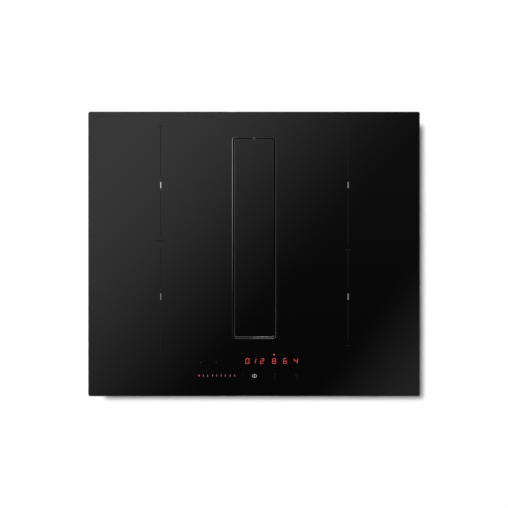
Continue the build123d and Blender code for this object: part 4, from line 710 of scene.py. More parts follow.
CASING_SCREW_Z = 0.196
SIDE_SCREWS_Y = (-0.200, -0.070, 0.070, 0.200)
END_SCREWS_X = (-0.200, 0.200)
LIP_SCREWS_Y = (-0.180, -0.060, 0.060, 0.180)
LIP_SCREWS_X = (-0.020, 0.120)
LID_SCREWS = [(x, y) for x in (-0.0565, 0.150) for y in (-0.195, 0.195)]
CASING_FLOOR_TOP = 0.141
COLLAR_FACE_Y = 0.221
COLLAR_REACH_X = 0.115
COLLAR_REACH_Z = 0.047
CASING_SCREW, LIP_SCREW, LID_SCREW, COLLAR_SCREW = 0.005, 0.007, 0.0115, 0.0055
casing_holes = [
    at((side * CASING_HALF_WIDTH, y, CASING_SCREW_Z)) @ facing
    for side, facing in to_side.items()
    for y in SIDE_SCREWS_Y
]
casing_holes += [
    at((x, end * CASING_HALF_DEPTH, CASING_SCREW_Z)) @ facing for facing, end in walls for x in END_SCREWS_X
]
lip_spots = [(x, y) for x in (wall_left - LIP_WIDTH / 2, wall_right + LIP_WIDTH / 2) for y in LIP_SCREWS_Y]
lip_spots += [(x, wall_front - LIP_WIDTH / 2) for x in LIP_SCREWS_X]
collar_holes = [
    at((duct_middle.x + i * COLLAR_REACH_X, COLLAR_FACE_Y, duct_middle.z + k * COLLAR_REACH_Z)) @ to_back
    for i in (-1, 1)
    for k in (-1, 1)
]
screws = stamped(screw(CASING_SCREW), casing_holes)
screws += row(screw(LIP_SCREW), [(x, y, LIP_MIDDLE_Z + LIP_HALF) for x, y in lip_spots])
screws += row(screw(LID_SCREW), [(x, y, CASING_FLOOR_TOP) for x, y in LID_SCREWS])
screws += stamped(screw(COLLAR_SCREW), collar_holes)
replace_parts(fitted("pan_head_screws", screws, "housing", screw_steel), "housing_screws")

# ---- Coils ---------------------------------------------------------------------------------------------
# Flat windings of copper litz, each one unbroken wire that grows from its hole to its outer edge. They lie
# on moulded formers over bars of ferrite, under a sheet of mica, with a sensor at each middle.
LITZ_RADIUS = 0.00105
LITZ_HEIGHT = 0.0046
COIL_TURNS = 25
COIL_HOLE_HALF = (0.028, 0.023)
COIL_ROUNDING = (0.014, 0.030)
CORNER_STEPS = 6
CORNERS = ((1, 1), (-1, 1), (-1, -1), (1, -1))


def wire_along(points, radius):
    """A round wire along points, with closed ends."""
    line = bpy.data.curves.new("wire", "CURVE")
    line.dimensions = "3D"
    line.bevel_depth = radius
    line.bevel_resolution = 1
    line.use_fill_caps = True
    spline = line.splines.new("POLY")
    spline.points.add(len(points) - 1)
    for point, place in zip(spline.points, points):
        point.co = (*place, 1)
    wire = bpy.data.objects.new("wire", line)
    bpy.context.scene.collection.objects.link(wire)
    choose(wire)
    bpy.ops.object.convert(target="MESH")
    bpy.ops.object.shade_smooth_by_angle(angle=math.radians(70))
    return bpy.context.object


def flat_coil(low, high):
    """A flat coil in its CAD node's box: turns round a growing rounded square, drawn out upwards."""
    tight, wide = COIL_ROUNDING[0] + LITZ_RADIUS, COIL_ROUNDING[1] - LITZ_RADIUS
    points = []
    for step in range(COIL_TURNS * 4 * (CORNER_STEPS + 1)):
        corner, bend = divmod(step, CORNER_STEPS + 1)
        quarters = corner + bend / CORNER_STEPS
        share = quarters / (4 * COIL_TURNS)
        rounding = tight + share * (wide - tight)
        angle = quarters * math.pi / 2
        place = []
        for axis, direction in enumerate((math.cos(angle), math.sin(angle))):
            inner = COIL_HOLE_HALF[axis] + LITZ_RADIUS
            outer = (high[axis] - low[axis]) / 2 - LITZ_RADIUS
            reach = inner + share * (outer - inner)
            place.append(CORNERS[corner % 4][axis] * (reach - rounding) + rounding * direction)
        points.append((*place, 0))
    coil = wire_along(points, LITZ_RADIUS)
    middle = (low + high) / 2
    coil.data.transform(Matrix.Diagonal((1, 1, LITZ_HEIGHT / 2 / LITZ_RADIUS, 1)))
    coil.data.transform(at((middle.x, middle.y, low.z + LITZ_HEIGHT / 2)))
    return coil


litz_copper = metal("coil_copper", (0.55, 0.22, 0.10), 0.36, streaks=(700, 700, 700), depth=0.00012)
for corner_name in ("left_rear", "left_front", "right_rear", "right_front"):
    coil = flat_coil(*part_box(f"coil_{corner_name}"))
    coil = fitted(f"wound_coil_{corner_name}", [coil], "housing", litz_copper)
    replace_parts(coil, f"coil_{corner_name}")
dress(moulded("former_plastic", (0.60, 0.58, 0.52), 0.5), "coil_formers")
dress(moulded("ferrite", (0.045, 0.043, 0.045), 0.6, grain=400.0), "coil_ferrites")
dress(moulded("mica", (0.42, 0.36, 0.26), 0.45, grain=120.0), "mica_sheets")
dress(moulded("sensor_ceramic", (0.80, 0.79, 0.75), 0.4), "temperature_sensors")

# ---- Power electronics ---------------------------------------------------------------------------------
# Green laminate boards with extruded heat sinks, capacitors in dark sleeves and chokes wound with copper,
# and two small fans that blow through them.
BOARD_GREEN = (0.018, 0.095, 0.040)
TRACK_GREEN = (0.030, 0.165, 0.066)
SOLDER = (0.56, 0.56, 0.57)
BLOCKS_PER_METRE = 75.0
BLOCK_DISORDER = 0.7
TRACKS_PER_METRE = 480.0
TRACK_SHARE = 0.45
POUR_SHARE = 0.74
JOINTS_PER_METRE = 190.0
JOINT_RADIUS = 0.19
JOINT_SHARE = 0.60
laminate, shader = new_finish("board_laminate", BOARD_GREEN, 0.34)
tree = laminate.node_tree
where = object_point(tree)
axes = node(tree, "SeparateXYZ", {0: where}).outputs
cells = {"Vector": where, "Scale": BLOCKS_PER_METRE, "Randomness": BLOCK_DISORDER}
blocks = node(tree, "TexVoronoi", cells, voronoi_dimensions="2D", distance="CHEBYCHEV")
block_draw = node(tree, "SeparateColor", {"Color": blocks.outputs["Color"]}).outputs
crossways = maths(tree, "GREATER_THAN", block_draw["Red"], 0.5)
along = node(tree, "Mix", {"Factor": crossways, "A": axes["X"], "B": axes["Y"]}, data_type="FLOAT")
counted = maths(tree, "MULTIPLY", along.outputs["Result"], TRACKS_PER_METRE)
track = maths(tree, "LESS_THAN", maths(tree, "FRACT", counted), TRACK_SHARE)
copper = maths(tree, "MAXIMUM", track, maths(tree, "GREATER_THAN", block_draw["Green"], POUR_SHARE))
lattice = {"Vector": where, "Scale": JOINTS_PER_METRE, "Randomness": 0.0}
spots = node(tree, "TexVoronoi", lattice, voronoi_dimensions="2D").outputs
spot_draw = node(tree, "SeparateColor", {"Color": spots["Color"]}).outputs
kept_spot = maths(tree, "GREATER_THAN", spot_draw["Red"], JOINT_SHARE)
joint = maths(tree, "MULTIPLY", maths(tree, "LESS_THAN", spots["Distance"], JOINT_RADIUS), kept_spot)
masked = blend(tree, copper, (*BOARD_GREEN, 1), (*TRACK_GREEN, 1))
relief = {"Strength": 0.6, "Distance": 0.00008, "Height": maths(tree, "ADD", copper, joint)}
feed(shader, {"Base Color": blend(tree, joint, masked, (*SOLDER, 1)), "Metallic": joint})
feed(shader, {"Normal": node(tree, "Bump", relief).outputs[0]})
dress(laminate, "circuit_boards")
dress(metal("heat_sink_aluminium", (0.70, 0.70, 0.71), 0.3), "heat_sinks")

# Each capacitor's sleeve is shrunk into the groove near the foot and over the rim of its can. Each step of
# the can's profile is a rise and a change of radius.
BOARD_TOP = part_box("capacitors")[0].z
CAN_PLACES = [(side * x, y, BOARD_TOP) for side in (-1, 1) for x in (0.100, 0.135) for y in (0.090, 0.125)]
CAN_RADIUS = 0.014
CAN_PROFILE = (
    (0.0030, 1.0),
    (0.0009, 0.965),
    (0.0009, 1 / 0.965),
    (0.0260, 1.0),
    (0.0009, 0.97),
    (0.0003, 0.95),
    (0.0, 0.90),
    (-0.0005, 1.0),
)
VENT_RADIUS = 0.0113
VENT_RISE = 0.0003
VENT_REACH = 0.0075
VENT_HALF = 0.0004


def sleeved_can():
    """A can raised from a circle, step by step."""
    deselect()
    bpy.ops.mesh.primitive_circle_add(vertices=40, radius=CAN_RADIUS, fill_type="NGON")
    bpy.ops.object.mode_set(mode="EDIT")
    for rise, change in CAN_PROFILE:
        raised(rise)
        resized(change, change, 1)
    can = closed()
    bpy.ops.object.shade_smooth_by_angle(angle=math.radians(25))
    return can


capacitor_sleeve = moulded("capacitor_sleeve", (0.02, 0.03, 0.09), 0.3)
cans = row(sleeved_can(), CAN_PLACES)
cans = fitted("capacitor_cans", cans, "housing", capacitor_sleeve)
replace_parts(cans, "capacitors")
vent = disc(VENT_RADIUS, VENT_RISE, VENT_RISE / 3, 1)
cross_cut(vent, VENT_REACH, VENT_HALF, (VENT_RISE / 3, 2 * VENT_RISE))
can_height = sum(rise for rise, change in CAN_PROFILE)
vents = row(vent, [(x, y, z + can_height) for x, y, z in CAN_PLACES])
can_aluminium = metal("can_aluminium", (0.70, 0.70, 0.71), 0.3, streaks=(300, 300, 300))
fitted("capacitor_vents", vents, "housing", can_aluminium)

# Each choke is a coated ring core with two windings, every one a single unbroken wire.
CHOKE_PLACES = [(side * 0.200, y, BOARD_TOP) for side in (-1, 1) for y in (0.095, 0.150)]
CHOKE_MIDDLE = 0.010
CORE_RADIUS = 0.014
CORE_HALF_WIDTH = 0.00415
CORE_HALF_HEIGHT = 0.0082
CORE_ROUNDING = 0.003
WIRE_RADIUS = 0.0008
TURN_HALF_WIDTH = 0.0052
TURN_HALF_HEIGHT = 0.0092
TURNS = 13
TURN_STEPS = 16
WINDING_STARTS = (16, 196)
WINDING_SPAN = 148


def tube(vertices, outer, inner, length, rounding):
    """A tube that runs up from the origin: an open cylinder, thickened inwards, with its edges rounded."""
    deselect()
    bpy.ops.mesh.primitive_cylinder_add(
        vertices=vertices, radius=outer, depth=length, end_fill_type="NOTHING", location=(0, 0, length / 2)
    )
    bpy.ops.object.transform_apply(location=True)
    thickness = (outer - inner) * math.cos(math.pi / vertices)
    piece = applied(bpy.context.object, "SOLIDIFY", thickness=thickness, offset=-1, use_even_offset=True)
    return soften(piece, rounding)


def winding(start):
    """A wire wound round half the core, each turn a rounded rectangle, with its ends led to the board."""
    steps = TURNS * TURN_STEPS
    path = []
    for step in range(steps + 1):
        through = 2 * math.pi * step / TURN_STEPS - math.pi / 4
        across, up = math.cos(through), math.sin(through)
        across = math.copysign(math.sqrt(abs(across)), across) * TURN_HALF_WIDTH
        up = math.copysign(math.sqrt(abs(up)), up) * TURN_HALF_HEIGHT
        path.append((math.radians(start + WINDING_SPAN * step / steps), across, up))
    at_board = (TURN_HALF_WIDTH, -CHOKE_MIDDLE)
    points = []
    for around, across, up in ((path[0][0], *at_board), *path, (path[-1][0], *at_board)):
        reach = CORE_RADIUS + across
        points.append((reach * math.cos(around), reach * math.sin(around), CHOKE_MIDDLE + up))
    return wire_along(points, WIRE_RADIUS)


core_outer, core_inner = CORE_RADIUS + CORE_HALF_WIDTH, CORE_RADIUS - CORE_HALF_WIDTH
core = tube(48, core_outer, core_inner, 2 * CORE_HALF_HEIGHT, CORE_ROUNDING)
core.data.transform(at((0, 0, CHOKE_MIDDLE - CORE_HALF_HEIGHT)))
core_coating = moulded("core_coating", (0.045, 0.045, 0.05), 0.55)
fitted("choke_cores", row(core, CHOKE_PLACES), "housing", core_coating)
wound = row(one_piece("winding", [winding(start) for start in WINDING_STARTS]), CHOKE_PLACES)
choke_winding = metal("choke_winding", (0.60, 0.25, 0.11), 0.30, streaks=(600, 600, 600))
wound = fitted("choke_windings", wound, "housing", choke_winding)
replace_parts(wound, "filter_chokes")

fan_plastic = moulded("fan_plastic", (0.025, 0.025, 0.027), 0.5)
dress(fan_plastic, "cooling_fan_frames", "cooling_fan_rotor_left", "cooling_fan_rotor_right")

# ---- Touch controls under the glass --------------------------------------------------------------------
# A moulded carrier holds the board with its displays, its light guide and its touch springs against the
# glass. The leads and the flat ribbon inside the casing have black insulation.
flap_plastic = moulded("flap_plastic", (0.028, 0.028, 0.030), 0.5)
dress(flap_plastic, "flap_carrier", "board_carrier")
dress(moulded("display_body", (0.035, 0.035, 0.038), 0.4), "display_modules")
dress(moulded("light_guide", (0.80, 0.80, 0.78), 0.3), "slider_light_guide")
dress(moulded("wire_insulation", (0.05, 0.05, 0.055), 0.45), "internal_wiring")

# ---- Mains connection ----------------------------------------------------------------------------------
# A moulded box under the casing with a hinged cover, a block of brass terminals, and a ribbed gland with
# a hexagon nut and a rubber seal.
terminal_plastic = moulded("terminal_plastic", (0.040, 0.040, 0.043), 0.48)
dress(terminal_plastic, "terminal_box", "terminal_cover")
block_plastic = moulded("terminal_block_plastic", (0.62, 0.61, 0.57), 0.45)
dress(block_plastic, "terminal_block")
BOX_LEFT, BOX_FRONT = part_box("terminal_box")[0].xy
BOX_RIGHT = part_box("terminal_box")[1].x
BOX_RIB_Z = (0.1095, 0.1385)
BOX_RIB_PITCH = 0.012
BOX_RIB_HALF = 0.0008
BOX_RIB_PROUD = 0.0008
BOX_RIB_ROOT = 0.0004
BOX_RIB_EDGE = 0.0003
SIDE_RIB_START = BOX_FRONT + 0.008
FRONT_RIB_START = BOX_LEFT + 0.009
LEFT_RIBS = (0, 1, 2, 6)
RIGHT_RIBS = range(6)
FRONT_RIBS = range(7)
rib_width = (-BOX_RIB_HALF, BOX_RIB_HALF)
left_depth = (BOX_LEFT - BOX_RIB_PROUD, BOX_LEFT + BOX_RIB_ROOT)
right_depth = (BOX_RIGHT - BOX_RIB_ROOT, BOX_RIGHT + BOX_RIB_PROUD)
front_depth = (BOX_FRONT - BOX_RIB_PROUD, BOX_FRONT + BOX_RIB_ROOT)
left_rib = slab(left_depth, rib_width, BOX_RIB_Z, BOX_RIB_EDGE)
right_rib = slab(right_depth, rib_width, BOX_RIB_Z, BOX_RIB_EDGE)
front_rib = slab(rib_width, front_depth, BOX_RIB_Z, BOX_RIB_EDGE)
box_ribs = row(left_rib, [(0, SIDE_RIB_START + k * BOX_RIB_PITCH, 0) for k in LEFT_RIBS])
box_ribs += row(right_rib, [(0, SIDE_RIB_START + k * BOX_RIB_PITCH, 0) for k in RIGHT_RIBS])
box_ribs += row(front_rib, [(FRONT_RIB_START + k * BOX_RIB_PITCH, 0, 0) for k in FRONT_RIBS])
fitted("terminal_box_ribs", box_ribs, "housing", terminal_plastic)

COVER_MIDDLE = (-0.185, 0.188, 0.1047)
PANEL_SPAN_X = (-0.034, 0.034)
PANEL_SPAN_Y = (-0.028, 0.028)
PANEL_RISE = 0.0008
PANEL_CORNER = 0.004
PANEL_RIM = 0.0005
LATCH_SPAN_X = (-0.194, -0.176)
LATCH_SPAN_Y = (0.1472, 0.1510)
LATCH_SPAN_Z = (0.1042, 0.1088)
LATCH_ROUNDING = 0.0006
downwards = turned(180, "X")
panel = pad(PANEL_SPAN_X, PANEL_SPAN_Y, (0, PANEL_RISE), PANEL_CORNER, 4, PANEL_RIM)
panel.data.transform(at(COVER_MIDDLE) @ downwards)
latch = slab(LATCH_SPAN_X, LATCH_SPAN_Y, LATCH_SPAN_Z, LATCH_ROUNDING)
fitted("terminal_cover_panel", [panel, latch], "terminal_cover", terminal_plastic)

BLOCK_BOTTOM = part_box("terminal_block")[0].z
TERMINALS_X = (-0.197, -0.185, -0.173)
TERMINALS_Y = (0.1698, 0.1802)
TERMINAL_SCREW = 0.004
BLOCK_WALLS_X = (-0.203, -0.191, -0.179, -0.167)
BLOCK_WALL_SPAN_X = (-0.0007, 0.0007)
BLOCK_WALL_SPAN_Y = (0.1665, 0.1835)
BLOCK_WALL_SPAN_Z = (BLOCK_BOTTOM - 0.0032, BLOCK_BOTTOM + 0.001)
BLOCK_WALL_EDGE = 0.0003
brass = metal("terminal_brass", (0.72, 0.53, 0.24), 0.3, streaks=(300, 300, 300))
clamps = [at((x, y, BLOCK_BOTTOM)) @ downwards for x in TERMINALS_X for y in TERMINALS_Y]
fitted("terminal_screws", stamped(screw(TERMINAL_SCREW), clamps), "housing", brass)
block_wall = slab(BLOCK_WALL_SPAN_X, BLOCK_WALL_SPAN_Y, BLOCK_WALL_SPAN_Z, BLOCK_WALL_EDGE)
block_walls = row(block_wall, [(x, 0, 0) for x in BLOCK_WALLS_X])
fitted("terminal_block_walls", block_walls, "housing", block_plastic)

GLAND_Y = 0.200
GLAND_Z = 0.122
GLAND_BORE = 0.0055
GLAND_RADIUS = 0.008
THREAD_RADIUS = 0.007
NUT_RADIUS = 0.0103
NUT_LENGTH = 0.006
NUT_EDGE = 0.0005
CAP_LENGTH = 0.012
CAP_ROUNDING = 0.0012
FINE_EDGE = 0.0003
GRIPS = 16
GRIP_HALF = 0.0004
GRIP_ROOT = 0.0004
GRIP_PROUD = 0.0005
GRIP_LENGTH = 0.009
GRIP_EDGE = 0.0002
RUBBER = 0.0009
RUBBER_LENGTH = 0.010
RUBBER_START = 0.001
gland_plastic = moulded("gland_plastic", (0.030, 0.030, 0.032), 0.42)
to_left = at((BOX_LEFT, GLAND_Y, GLAND_Z)) @ turned(-90, "Y")
nut = tube(6, NUT_RADIUS, GLAND_BORE, NUT_LENGTH, NUT_EDGE)
cap = tube(32, GLAND_RADIUS, GLAND_BORE + RUBBER, CAP_LENGTH, CAP_ROUNDING)
cap.data.transform(at((0, 0, NUT_LENGTH)))
thread = tube(32, THREAD_RADIUS, GLAND_BORE, NUT_LENGTH, FINE_EDGE)
thread.data.transform(at((0, 0, -NUT_LENGTH)))
grip_depth = (GLAND_RADIUS - GRIP_ROOT, GLAND_RADIUS + GRIP_PROUD)
grip = slab(grip_depth, (-GRIP_HALF, GRIP_HALF), (NUT_LENGTH, NUT_LENGTH + GRIP_LENGTH), GRIP_EDGE)
grips = stamped(grip, [turned(360 * k / GRIPS, "Z") for k in range(GRIPS)])
gland = one_piece("ribbed_gland", [nut, cap, thread, *grips])
gland.data.transform(to_left)
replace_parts(fitted("ribbed_gland", [gland], "housing", gland_plastic), "cable_gland")
rubber_ring = tube(32, GLAND_BORE + RUBBER, GLAND_BORE, RUBBER_LENGTH, FINE_EDGE)
rubber_ring.data.transform(to_left @ at((0, 0, NUT_LENGTH + RUBBER_START)))
fitted("gland_seal", [rubber_ring], "housing", isolator_rubber)

# ---- Lift-out cassette ---------------------------------------------------------------------------------
# A stainless frame that lifts out by its strap. It holds a grease filter of two layers of woven wire and
# the ears that the flap turns on.
stainless = metal("stainless", (0.50, 0.495, 0.485), 0.27)
dress(stainless, "slot_trim", "cassette_frame", "grease_filter_frame", "flap_pivot_pins")
gasket_rubber = moulded("gasket_rubber", (0.025, 0.025, 0.026), 0.85, grain=500.0, depth=0.0004)
dress(gasket_rubber, "perimeter_gasket", "chute_seal")
FILTER_HALF_WIDTH = 0.0318
FILTER_HALF_LENGTH = 0.1748
FILTER_MIDDLE_Y = 0.029
WEAVE_PITCH = 0.0042
WIRE = 0.0007
WEAVE_HEIGHTS = (0.1542, 0.1586)
NET_SIDE = 2.6 * FILTER_HALF_LENGTH


def woven_layer(height, shift):
    """A layer of the filter: a square net turned by an eighth, trimmed to the frame, and made into wire."""
    count = int(NET_SIDE / WEAVE_PITCH)
    deselect()
    bpy.ops.mesh.primitive_grid_add(
        x_subdivisions=count, y_subdivisions=count, size=NET_SIDE, location=(0, 0, 0)
    )
    bpy.ops.object.mode_set(mode="EDIT")
    bpy.ops.transform.rotate(value=math.pi / 4, orient_axis="Z", center_override=(0, 0, 0))
    bpy.ops.transform.translate(value=(shift, 0, 0))
    for out_x, out_y in ((-1, 0), (1, 0), (0, -1), (0, 1)):
        spot = (out_x * FILTER_HALF_WIDTH, out_y * FILTER_HALF_LENGTH, 0)
        bpy.ops.mesh.select_all(action="SELECT")
        bpy.ops.mesh.bisect(plane_co=spot, plane_no=(out_x, out_y, 0), clear_outer=True)
    bpy.ops.mesh.select_all(action="SELECT")
    bpy.ops.transform.translate(value=(0, FILTER_MIDDLE_Y, height))
    bpy.ops.object.mode_set(mode="OBJECT")
    return applied(bpy.context.object, "WIREFRAME", thickness=WIRE, use_even_offset=False)


filter_wire = metal("filter_mesh", (0.60, 0.60, 0.61), 0.33, streaks=(400, 400, 400))
weave = [woven_layer(WEAVE_HEIGHTS[0], 0), woven_layer(WEAVE_HEIGHTS[1], WEAVE_PITCH / 2)]
weave = fitted("woven_grease_filter", weave, "cassette", filter_wire)
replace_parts(weave, "grease_filter_mesh")

# ---- Glass top -----------------------------------------------------------------------------------------
# One pane of black glass ceramic, polished on top and round its outer rim, and glued on the support frame.
# Only the bevel round the slot is left ground, so it shows as a fine pale line, and highlights are painted
# onto it.
GLASS_BLACK = (0.001, 0.001, 0.0012)
GLASS_POLISH = 0.03
GROUND_ROUGHNESS = 0.4
NEAR_SLOT = 0.045
SLOT_MIDDLE_Y = 0.029
SLOT_END = 0.1814
SLOT_BAND = (0.00004, 0.0006)
SLOT_END_DROP = 0.0008
SLOT_DARK = 0.11
# Highlights painted onto the slot's ground band, paler along some stretches than others.
SLOT_PAINTED_HIGHLIGHTS = [
    (-0.030, -0.038, -0.090, 0.200, 0.67),
    (-0.030, -0.038, -0.040, -0.090, -0.075),
    (-0.004, 0.008, -0.146, -0.152, 0.14),
]


def black_glass(name, ground_depths, end_drop, dark, painted_highlights):
    """Black glass whose bevel near the slot is ground between two depths under the top, and end_drop lower
    along the slot's short ends. The ground band's own paleness is dark, and each painted highlight
    (x_from, x_to, y_from, y_to, gain) paints its gain of highlight onto the band towards x_to and y_to."""
    finish, shader = new_finish(name, GLASS_BLACK, GLASS_POLISH)
    tree = finish.node_tree
    axes = node(tree, "SeparateXYZ", {0: object_point(tree)}).outputs
    near_slot = maths(tree, "LESS_THAN", maths(tree, "ABSOLUTE", axes["X"]), NEAR_SLOT)
    lengthways = maths(tree, "ABSOLUTE", maths(tree, "SUBTRACT", axes["Y"], SLOT_MIDDLE_Y))
    at_end = maths(tree, "GREATER_THAN", lengthways, SLOT_END)
    lifted = maths(tree, "MULTIPLY_ADD", at_end, end_drop, axes["Z"])
    shallow, deep = ground_depths
    in_band = maths(tree, "COMPARE", lifted, GLASS_TOP - (shallow + deep) / 2, (deep - shallow) / 2)
    ground = maths(tree, "MULTIPLY", near_slot, in_band)
    # The band's own dark paleness, with the painted highlights added over it.
    ground_tone_and_painted_highlight = dark
    for x_from, x_to, y_from, y_to, gain in painted_highlights:
        along_x = spread(tree, axes["X"], (x_from, x_to), (0, gain), interpolation_type="SMOOTHSTEP")
        along_y = spread(tree, axes["Y"], (y_from, y_to), (0, 1), interpolation_type="SMOOTHSTEP")
        ground_tone_and_painted_highlight = maths(tree, "MULTIPLY_ADD", along_x, along_y, ground_tone_and_painted_highlight)
    pale = node(tree, "CombineColor", dict.fromkeys(("Red", "Green", "Blue"), ground_tone_and_painted_highlight)).outputs[0]
    polish = spread(tree, ground, (0, 1), (GLASS_POLISH, GROUND_ROUGHNESS))
    feed(shader, {"Base Color": blend(tree, ground, (*GLASS_BLACK, 1), pale), "Roughness": polish})
    return finish


dress(black_glass("black_glass", SLOT_BAND, SLOT_END_DROP, SLOT_DARK, SLOT_PAINTED_HIGHLIGHTS), "glass_top")

# ---- Printed cooking zones -----------------------------------------------------------------------------
# Two lines of matt ceramic ink, fired into the glass, one each side of the slot, with short ticks at
# their ends and middles, and two pale marks in each line over the middle of a coil.
INK_RISE = 0.00005
LINE_WIDTH = 0.0011
LINE_X = {"left": -0.1692, "right": 0.170}
TICK_HALF = 0.0045
MIDDLE_TICK_HALF = 0.008
TICK_WIDTH = 0.0014
MARK_SPAN_X = {"left": (-0.1696, -0.1681), "right": (0.1691, 0.1712)}
LEFT_LINES = ((0.2285, 0.141), (0.112, 0.031), (0.011, -0.062), (-0.093, -0.179))
RIGHT_LINES = ((0.228, 0.138), (0.1075, 0.0176), (0.004, -0.061), (-0.088, -0.156))
LEFT_TICKS = ((0.2316, TICK_HALF), (0.0243, MIDDLE_TICK_HALF), (-0.184, TICK_HALF))
RIGHT_TICKS = ((0.233, TICK_HALF), (0.0077, TICK_HALF), (-0.166, TICK_HALF))
MARK_SPANS_Y = {"rear": (0.1303, 0.1193), "front": (-0.0714, -0.0830)}
MARK_PALENESS = {
    ("left", "rear"): 0.62,
    ("left", "front"): 0.22,
    ("right", "rear"): 0.20,
    ("right", "front"): 0.18,
}


def printed_bar(x_span, y_span):
    """A bar printed on the glass."""
    return pad(x_span, y_span, (GLASS_TOP, GLASS_TOP + INK_RISE))


def bar_at(x, y, half_width, half_height):
    """A bar printed about a point."""
    return printed_bar((x - half_width, x + half_width), (y - half_height, y + half_height))


def matt_ink(name, colour):
    """Ceramic ink that hardly shines."""
    finish, shader = new_finish(name, colour, 0.9)
    feed(shader, {"Specular IOR Level": 0.1})
    return finish


zone_ink = matt_ink("zone_ink", (0.011, 0.011, 0.0115))
for side, lines, ticks in (("left", LEFT_LINES, LEFT_TICKS), ("right", RIGHT_LINES, RIGHT_TICKS)):
    line_x = LINE_X[side]
    line_span = (line_x - LINE_WIDTH / 2, line_x + LINE_WIDTH / 2)
    printed = [printed_bar(line_span, span) for span in lines]
    printed += [bar_at(line_x, tick_y, tick_half, TICK_WIDTH / 2) for tick_y, tick_half in ticks]
    fitted(f"zone_line_{side}", printed, "housing", zone_ink)
    for end, mark_span in MARK_SPANS_Y.items():
        mark_ink = new_finish(f"mark_ink_{side}_{end}", 3 * (MARK_PALENESS[side, end],), 0.8)[0]
        mark = printed_bar(MARK_SPAN_X[side], mark_span)
        fitted(f"zone_mark_{side}_{end}", [mark], "housing", mark_ink)

# ---- Flap ----------------------------------------------------------------------------------------------
# A leaf of the same black glass that closes the slot, bonded on its carrier. Its own bevel is ground too,
# a little narrower and darker than the slot's, and highlights are painted onto it.
FLAP_BAND = (0.00004, 0.00055)
FLAP_DARK = 0.005
# Highlights painted onto the flap's ground band.
FLAP_PAINTED_HIGHLIGHTS = [
    (-0.030, -0.035, -0.300, -0.250, 0.09),
    (0.300, 0.250, 0.0, 0.150, 0.06),
    (0.300, 0.250, -0.1465, -0.1495, 0.24),
    (-0.003, 0.010, -0.1465, -0.1495, 0.50),
]
dress(black_glass("flap_black_glass", FLAP_BAND, 0.0, FLAP_DARK, FLAP_PAINTED_HIGHLIGHTS), "flap_glass")

# ---- Touch controls seen through the glass -------------------------------------------------------------
# Red seven-segment figures, a red slider of nine steps, a white on and off sign, and four faint signs of
# the other keys. The displays lie under the glass and shine through its clear windows.
FIGURE_Y = -0.1936
FIGURE_HALF_HEIGHT = 0.0044
FIGURE_HALF_WIDTH = 0.0028
SEGMENT_HALF = 0.00040
SEGMENT_GAP = 0.0003
LIT_RISE = 0.00006
# Each figure's lit segments, its middle and its slant.
FIGURES = (
    ("abcdef", -0.0121, 0.14),
    ("bc", 0.0000, 0.26),
    ("abged", 0.0145, 0.12),
    ("abcdefg", 0.0362, 0.03),
    ("acdefg", 0.0560, 0.06),
    ("bcfg", 0.0756, 0.08),
)


def segment(length):
    """One lit segment: a flat bar with cut corners."""
    return pad((-SEGMENT_HALF, SEGMENT_HALF), (-length / 2, length / 2), (0, LIT_RISE), 0.8 * SEGMENT_HALF)


upright = segment(FIGURE_HALF_HEIGHT - SEGMENT_GAP)
level = segment(2 * FIGURE_HALF_WIDTH - SEGMENT_GAP - SEGMENT_HALF)
QUARTER_HEIGHT = FIGURE_HALF_HEIGHT / 2
SEGMENTS = {
    "a": (level, 0, FIGURE_HALF_HEIGHT, 90),
    "b": (upright, FIGURE_HALF_WIDTH, QUARTER_HEIGHT, 0),
    "c": (upright, FIGURE_HALF_WIDTH, -QUARTER_HEIGHT, 0),
    "d": (level, 0, -FIGURE_HALF_HEIGHT, 90),
    "e": (upright, -FIGURE_HALF_WIDTH, -QUARTER_HEIGHT, 0),
    "f": (upright, -FIGURE_HALF_WIDTH, QUARTER_HEIGHT, 0),
    "g": (level, 0, 0, 90),
}
MODULE_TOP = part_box("display_modules")[1].z
lit_parts = []
windows = []
for lit_letters, figure_x, slope in FIGURES:
    slant = Matrix(((1, slope, 0, 0), (0, 1, 0, 0), (0, 0, 1, 0), (0, 0, 0, 1)))
    for letter, (model, x, y, degrees) in SEGMENTS.items():
        inside = slant @ at((x, y, 0)) @ turned(degrees, "Z")
        windows.append(copied(model, at((figure_x, FIGURE_Y, MODULE_TOP)) @ inside))
        if letter in lit_letters:
            lit_parts.append(copied(model, at((figure_x, FIGURE_Y, GLASS_TOP)) @ inside))
bpy.data.objects.remove(upright)
bpy.data.objects.remove(level)
diffuser = moulded("diffuser_plastic", (0.62, 0.58, 0.54), 0.45)
fitted("display_windows", windows, "housing", diffuser)


def lit_dot(x, y, radius):
    """A round lamp under the glass."""
    return row(disc(radius, LIT_RISE, LIT_RISE / 3, 1), [(x, y, GLASS_TOP)])[0]


def lit(name, colour, strength):
    """Light that shines through a clear window in the glass's black coat."""
    finish, shader = new_finish(name, (0.01, 0.01, 0.01), 0.1)
    feed(shader, {"Emission Color": (*colour, 1), "Emission Strength": strength})
    return finish


DECIMAL_POINT = (-0.0085, -0.1979, 0.0005)
TIMER_LAMP = (0.0362, -0.1820, 0.0012)
red_light = lit("red_light", (1.0, 0.105, 0.10), 0.92)
fitted("display_figures", [*lit_parts, lit_dot(*DECIMAL_POINT)], "housing", red_light)
orange_light = lit("orange_light", (1.0, 0.25, 0.10), 0.75)
fitted("timer_lamp", [lit_dot(*TIMER_LAMP)], "housing", orange_light)

SLIDER_Y = -0.2200
SLIDER_STEPS = (-0.0918, -0.0841, -0.0749, -0.0676, -0.0593, -0.0520, -0.0433, -0.0350)
STEP_HALF_WIDTH = 0.00026
STEP_HALF_HEIGHT = 0.0020
SLIDER_END = (-0.0997, SLIDER_Y, 0.0016)
steps = [bar_at(x, SLIDER_Y, STEP_HALF_WIDTH, STEP_HALF_HEIGHT) for x in SLIDER_STEPS]
fitted("slider_steps", steps, "housing", lit("pink_light", (1.0, 0.36, 0.45), 0.72))
fitted("slider_end", [lit_dot(*SLIDER_END)], "housing", lit("rose_light", (1.0, 0.09, 0.18), 0.45))


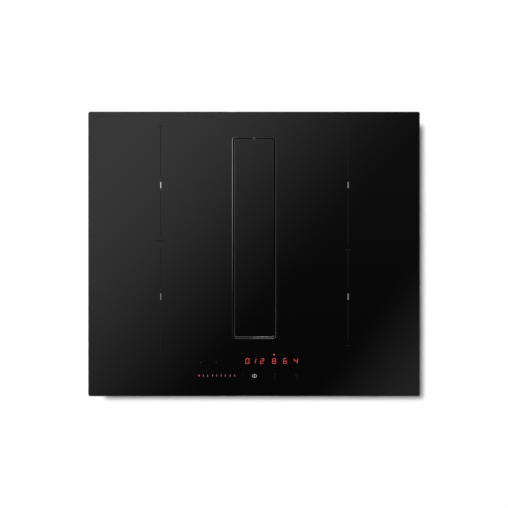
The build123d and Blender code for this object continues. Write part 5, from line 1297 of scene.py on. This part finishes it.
def ring_sign(x, y, radius, stroke, squat=1.0):
    """A thin printed ring: a torus pressed flat on the glass, its height squat times its width."""
    deselect()
    bpy.ops.mesh.primitive_torus_add(
        major_radius=radius, minor_radius=stroke, major_segments=48, minor_segments=8
    )
    bpy.ops.object.mode_set(mode="EDIT")
    resized(1, squat, LIT_RISE / stroke / 2)
    bpy.ops.transform.translate(value=(x, y, GLASS_TOP + LIT_RISE / 2))
    bpy.ops.object.mode_set(mode="OBJECT")
    return bpy.context.object


POWER_X = 0.0008
POWER_Y = -0.2206
POWER_RADIUS = 0.0037
POWER_SQUAT = 0.75
POWER_STROKE = 0.00024
STEM_HALF = 0.0002
ring = ring_sign(POWER_X, POWER_Y, POWER_RADIUS, POWER_STROKE, POWER_SQUAT)
stem = bar_at(POWER_X, POWER_Y, STEM_HALF, POWER_SQUAT * POWER_RADIUS)
fitted("power_sign", [ring, stem], "housing", lit("white_light", (1.0, 1.0, 1.0), 0.85))

# The other keys' signs are unlit: a lock, a pause, a warm-keeping sign, a timer and the slider's last
# step. A bar's numbers are its middle and half sizes, a dot's its middle and radius, a ring's its stroke too.
UNLIT_BARS = (
    (-0.0962, -0.1968, 0.0012, 0.0010),
    (-0.0703, -0.1960, 0.00022, 0.0020),
    (-0.0683, -0.1960, 0.00045, 0.0020),
    (0.0364, -0.2257, 0.0012, 0.0003),
    (0.0772, -0.2183, 0.00022, 0.0012),
    (0.0775, -0.2247, 0.00045, 0.0016),
    (-0.0200, SLIDER_Y, STEP_HALF_WIDTH, STEP_HALF_HEIGHT),
)
UNLIT_RINGS = ((-0.0962, -0.1952, 0.0008, 0.00022), (0.0772, -0.2195, 0.0026, 0.00022))
UNLIT_DOTS = ((0.0376, -0.2169, 0.0010), (0.0380, -0.2221, 0.0009))
signs = [bar_at(*bar) for bar in UNLIT_BARS]
signs += [ring_sign(*ring) for ring in UNLIT_RINGS]
signs += [lit_dot(*dot) for dot in UNLIT_DOTS]
fitted("unlit_signs", signs, "housing", matt_ink("faint_ink", (0.018, 0.018, 0.019)))
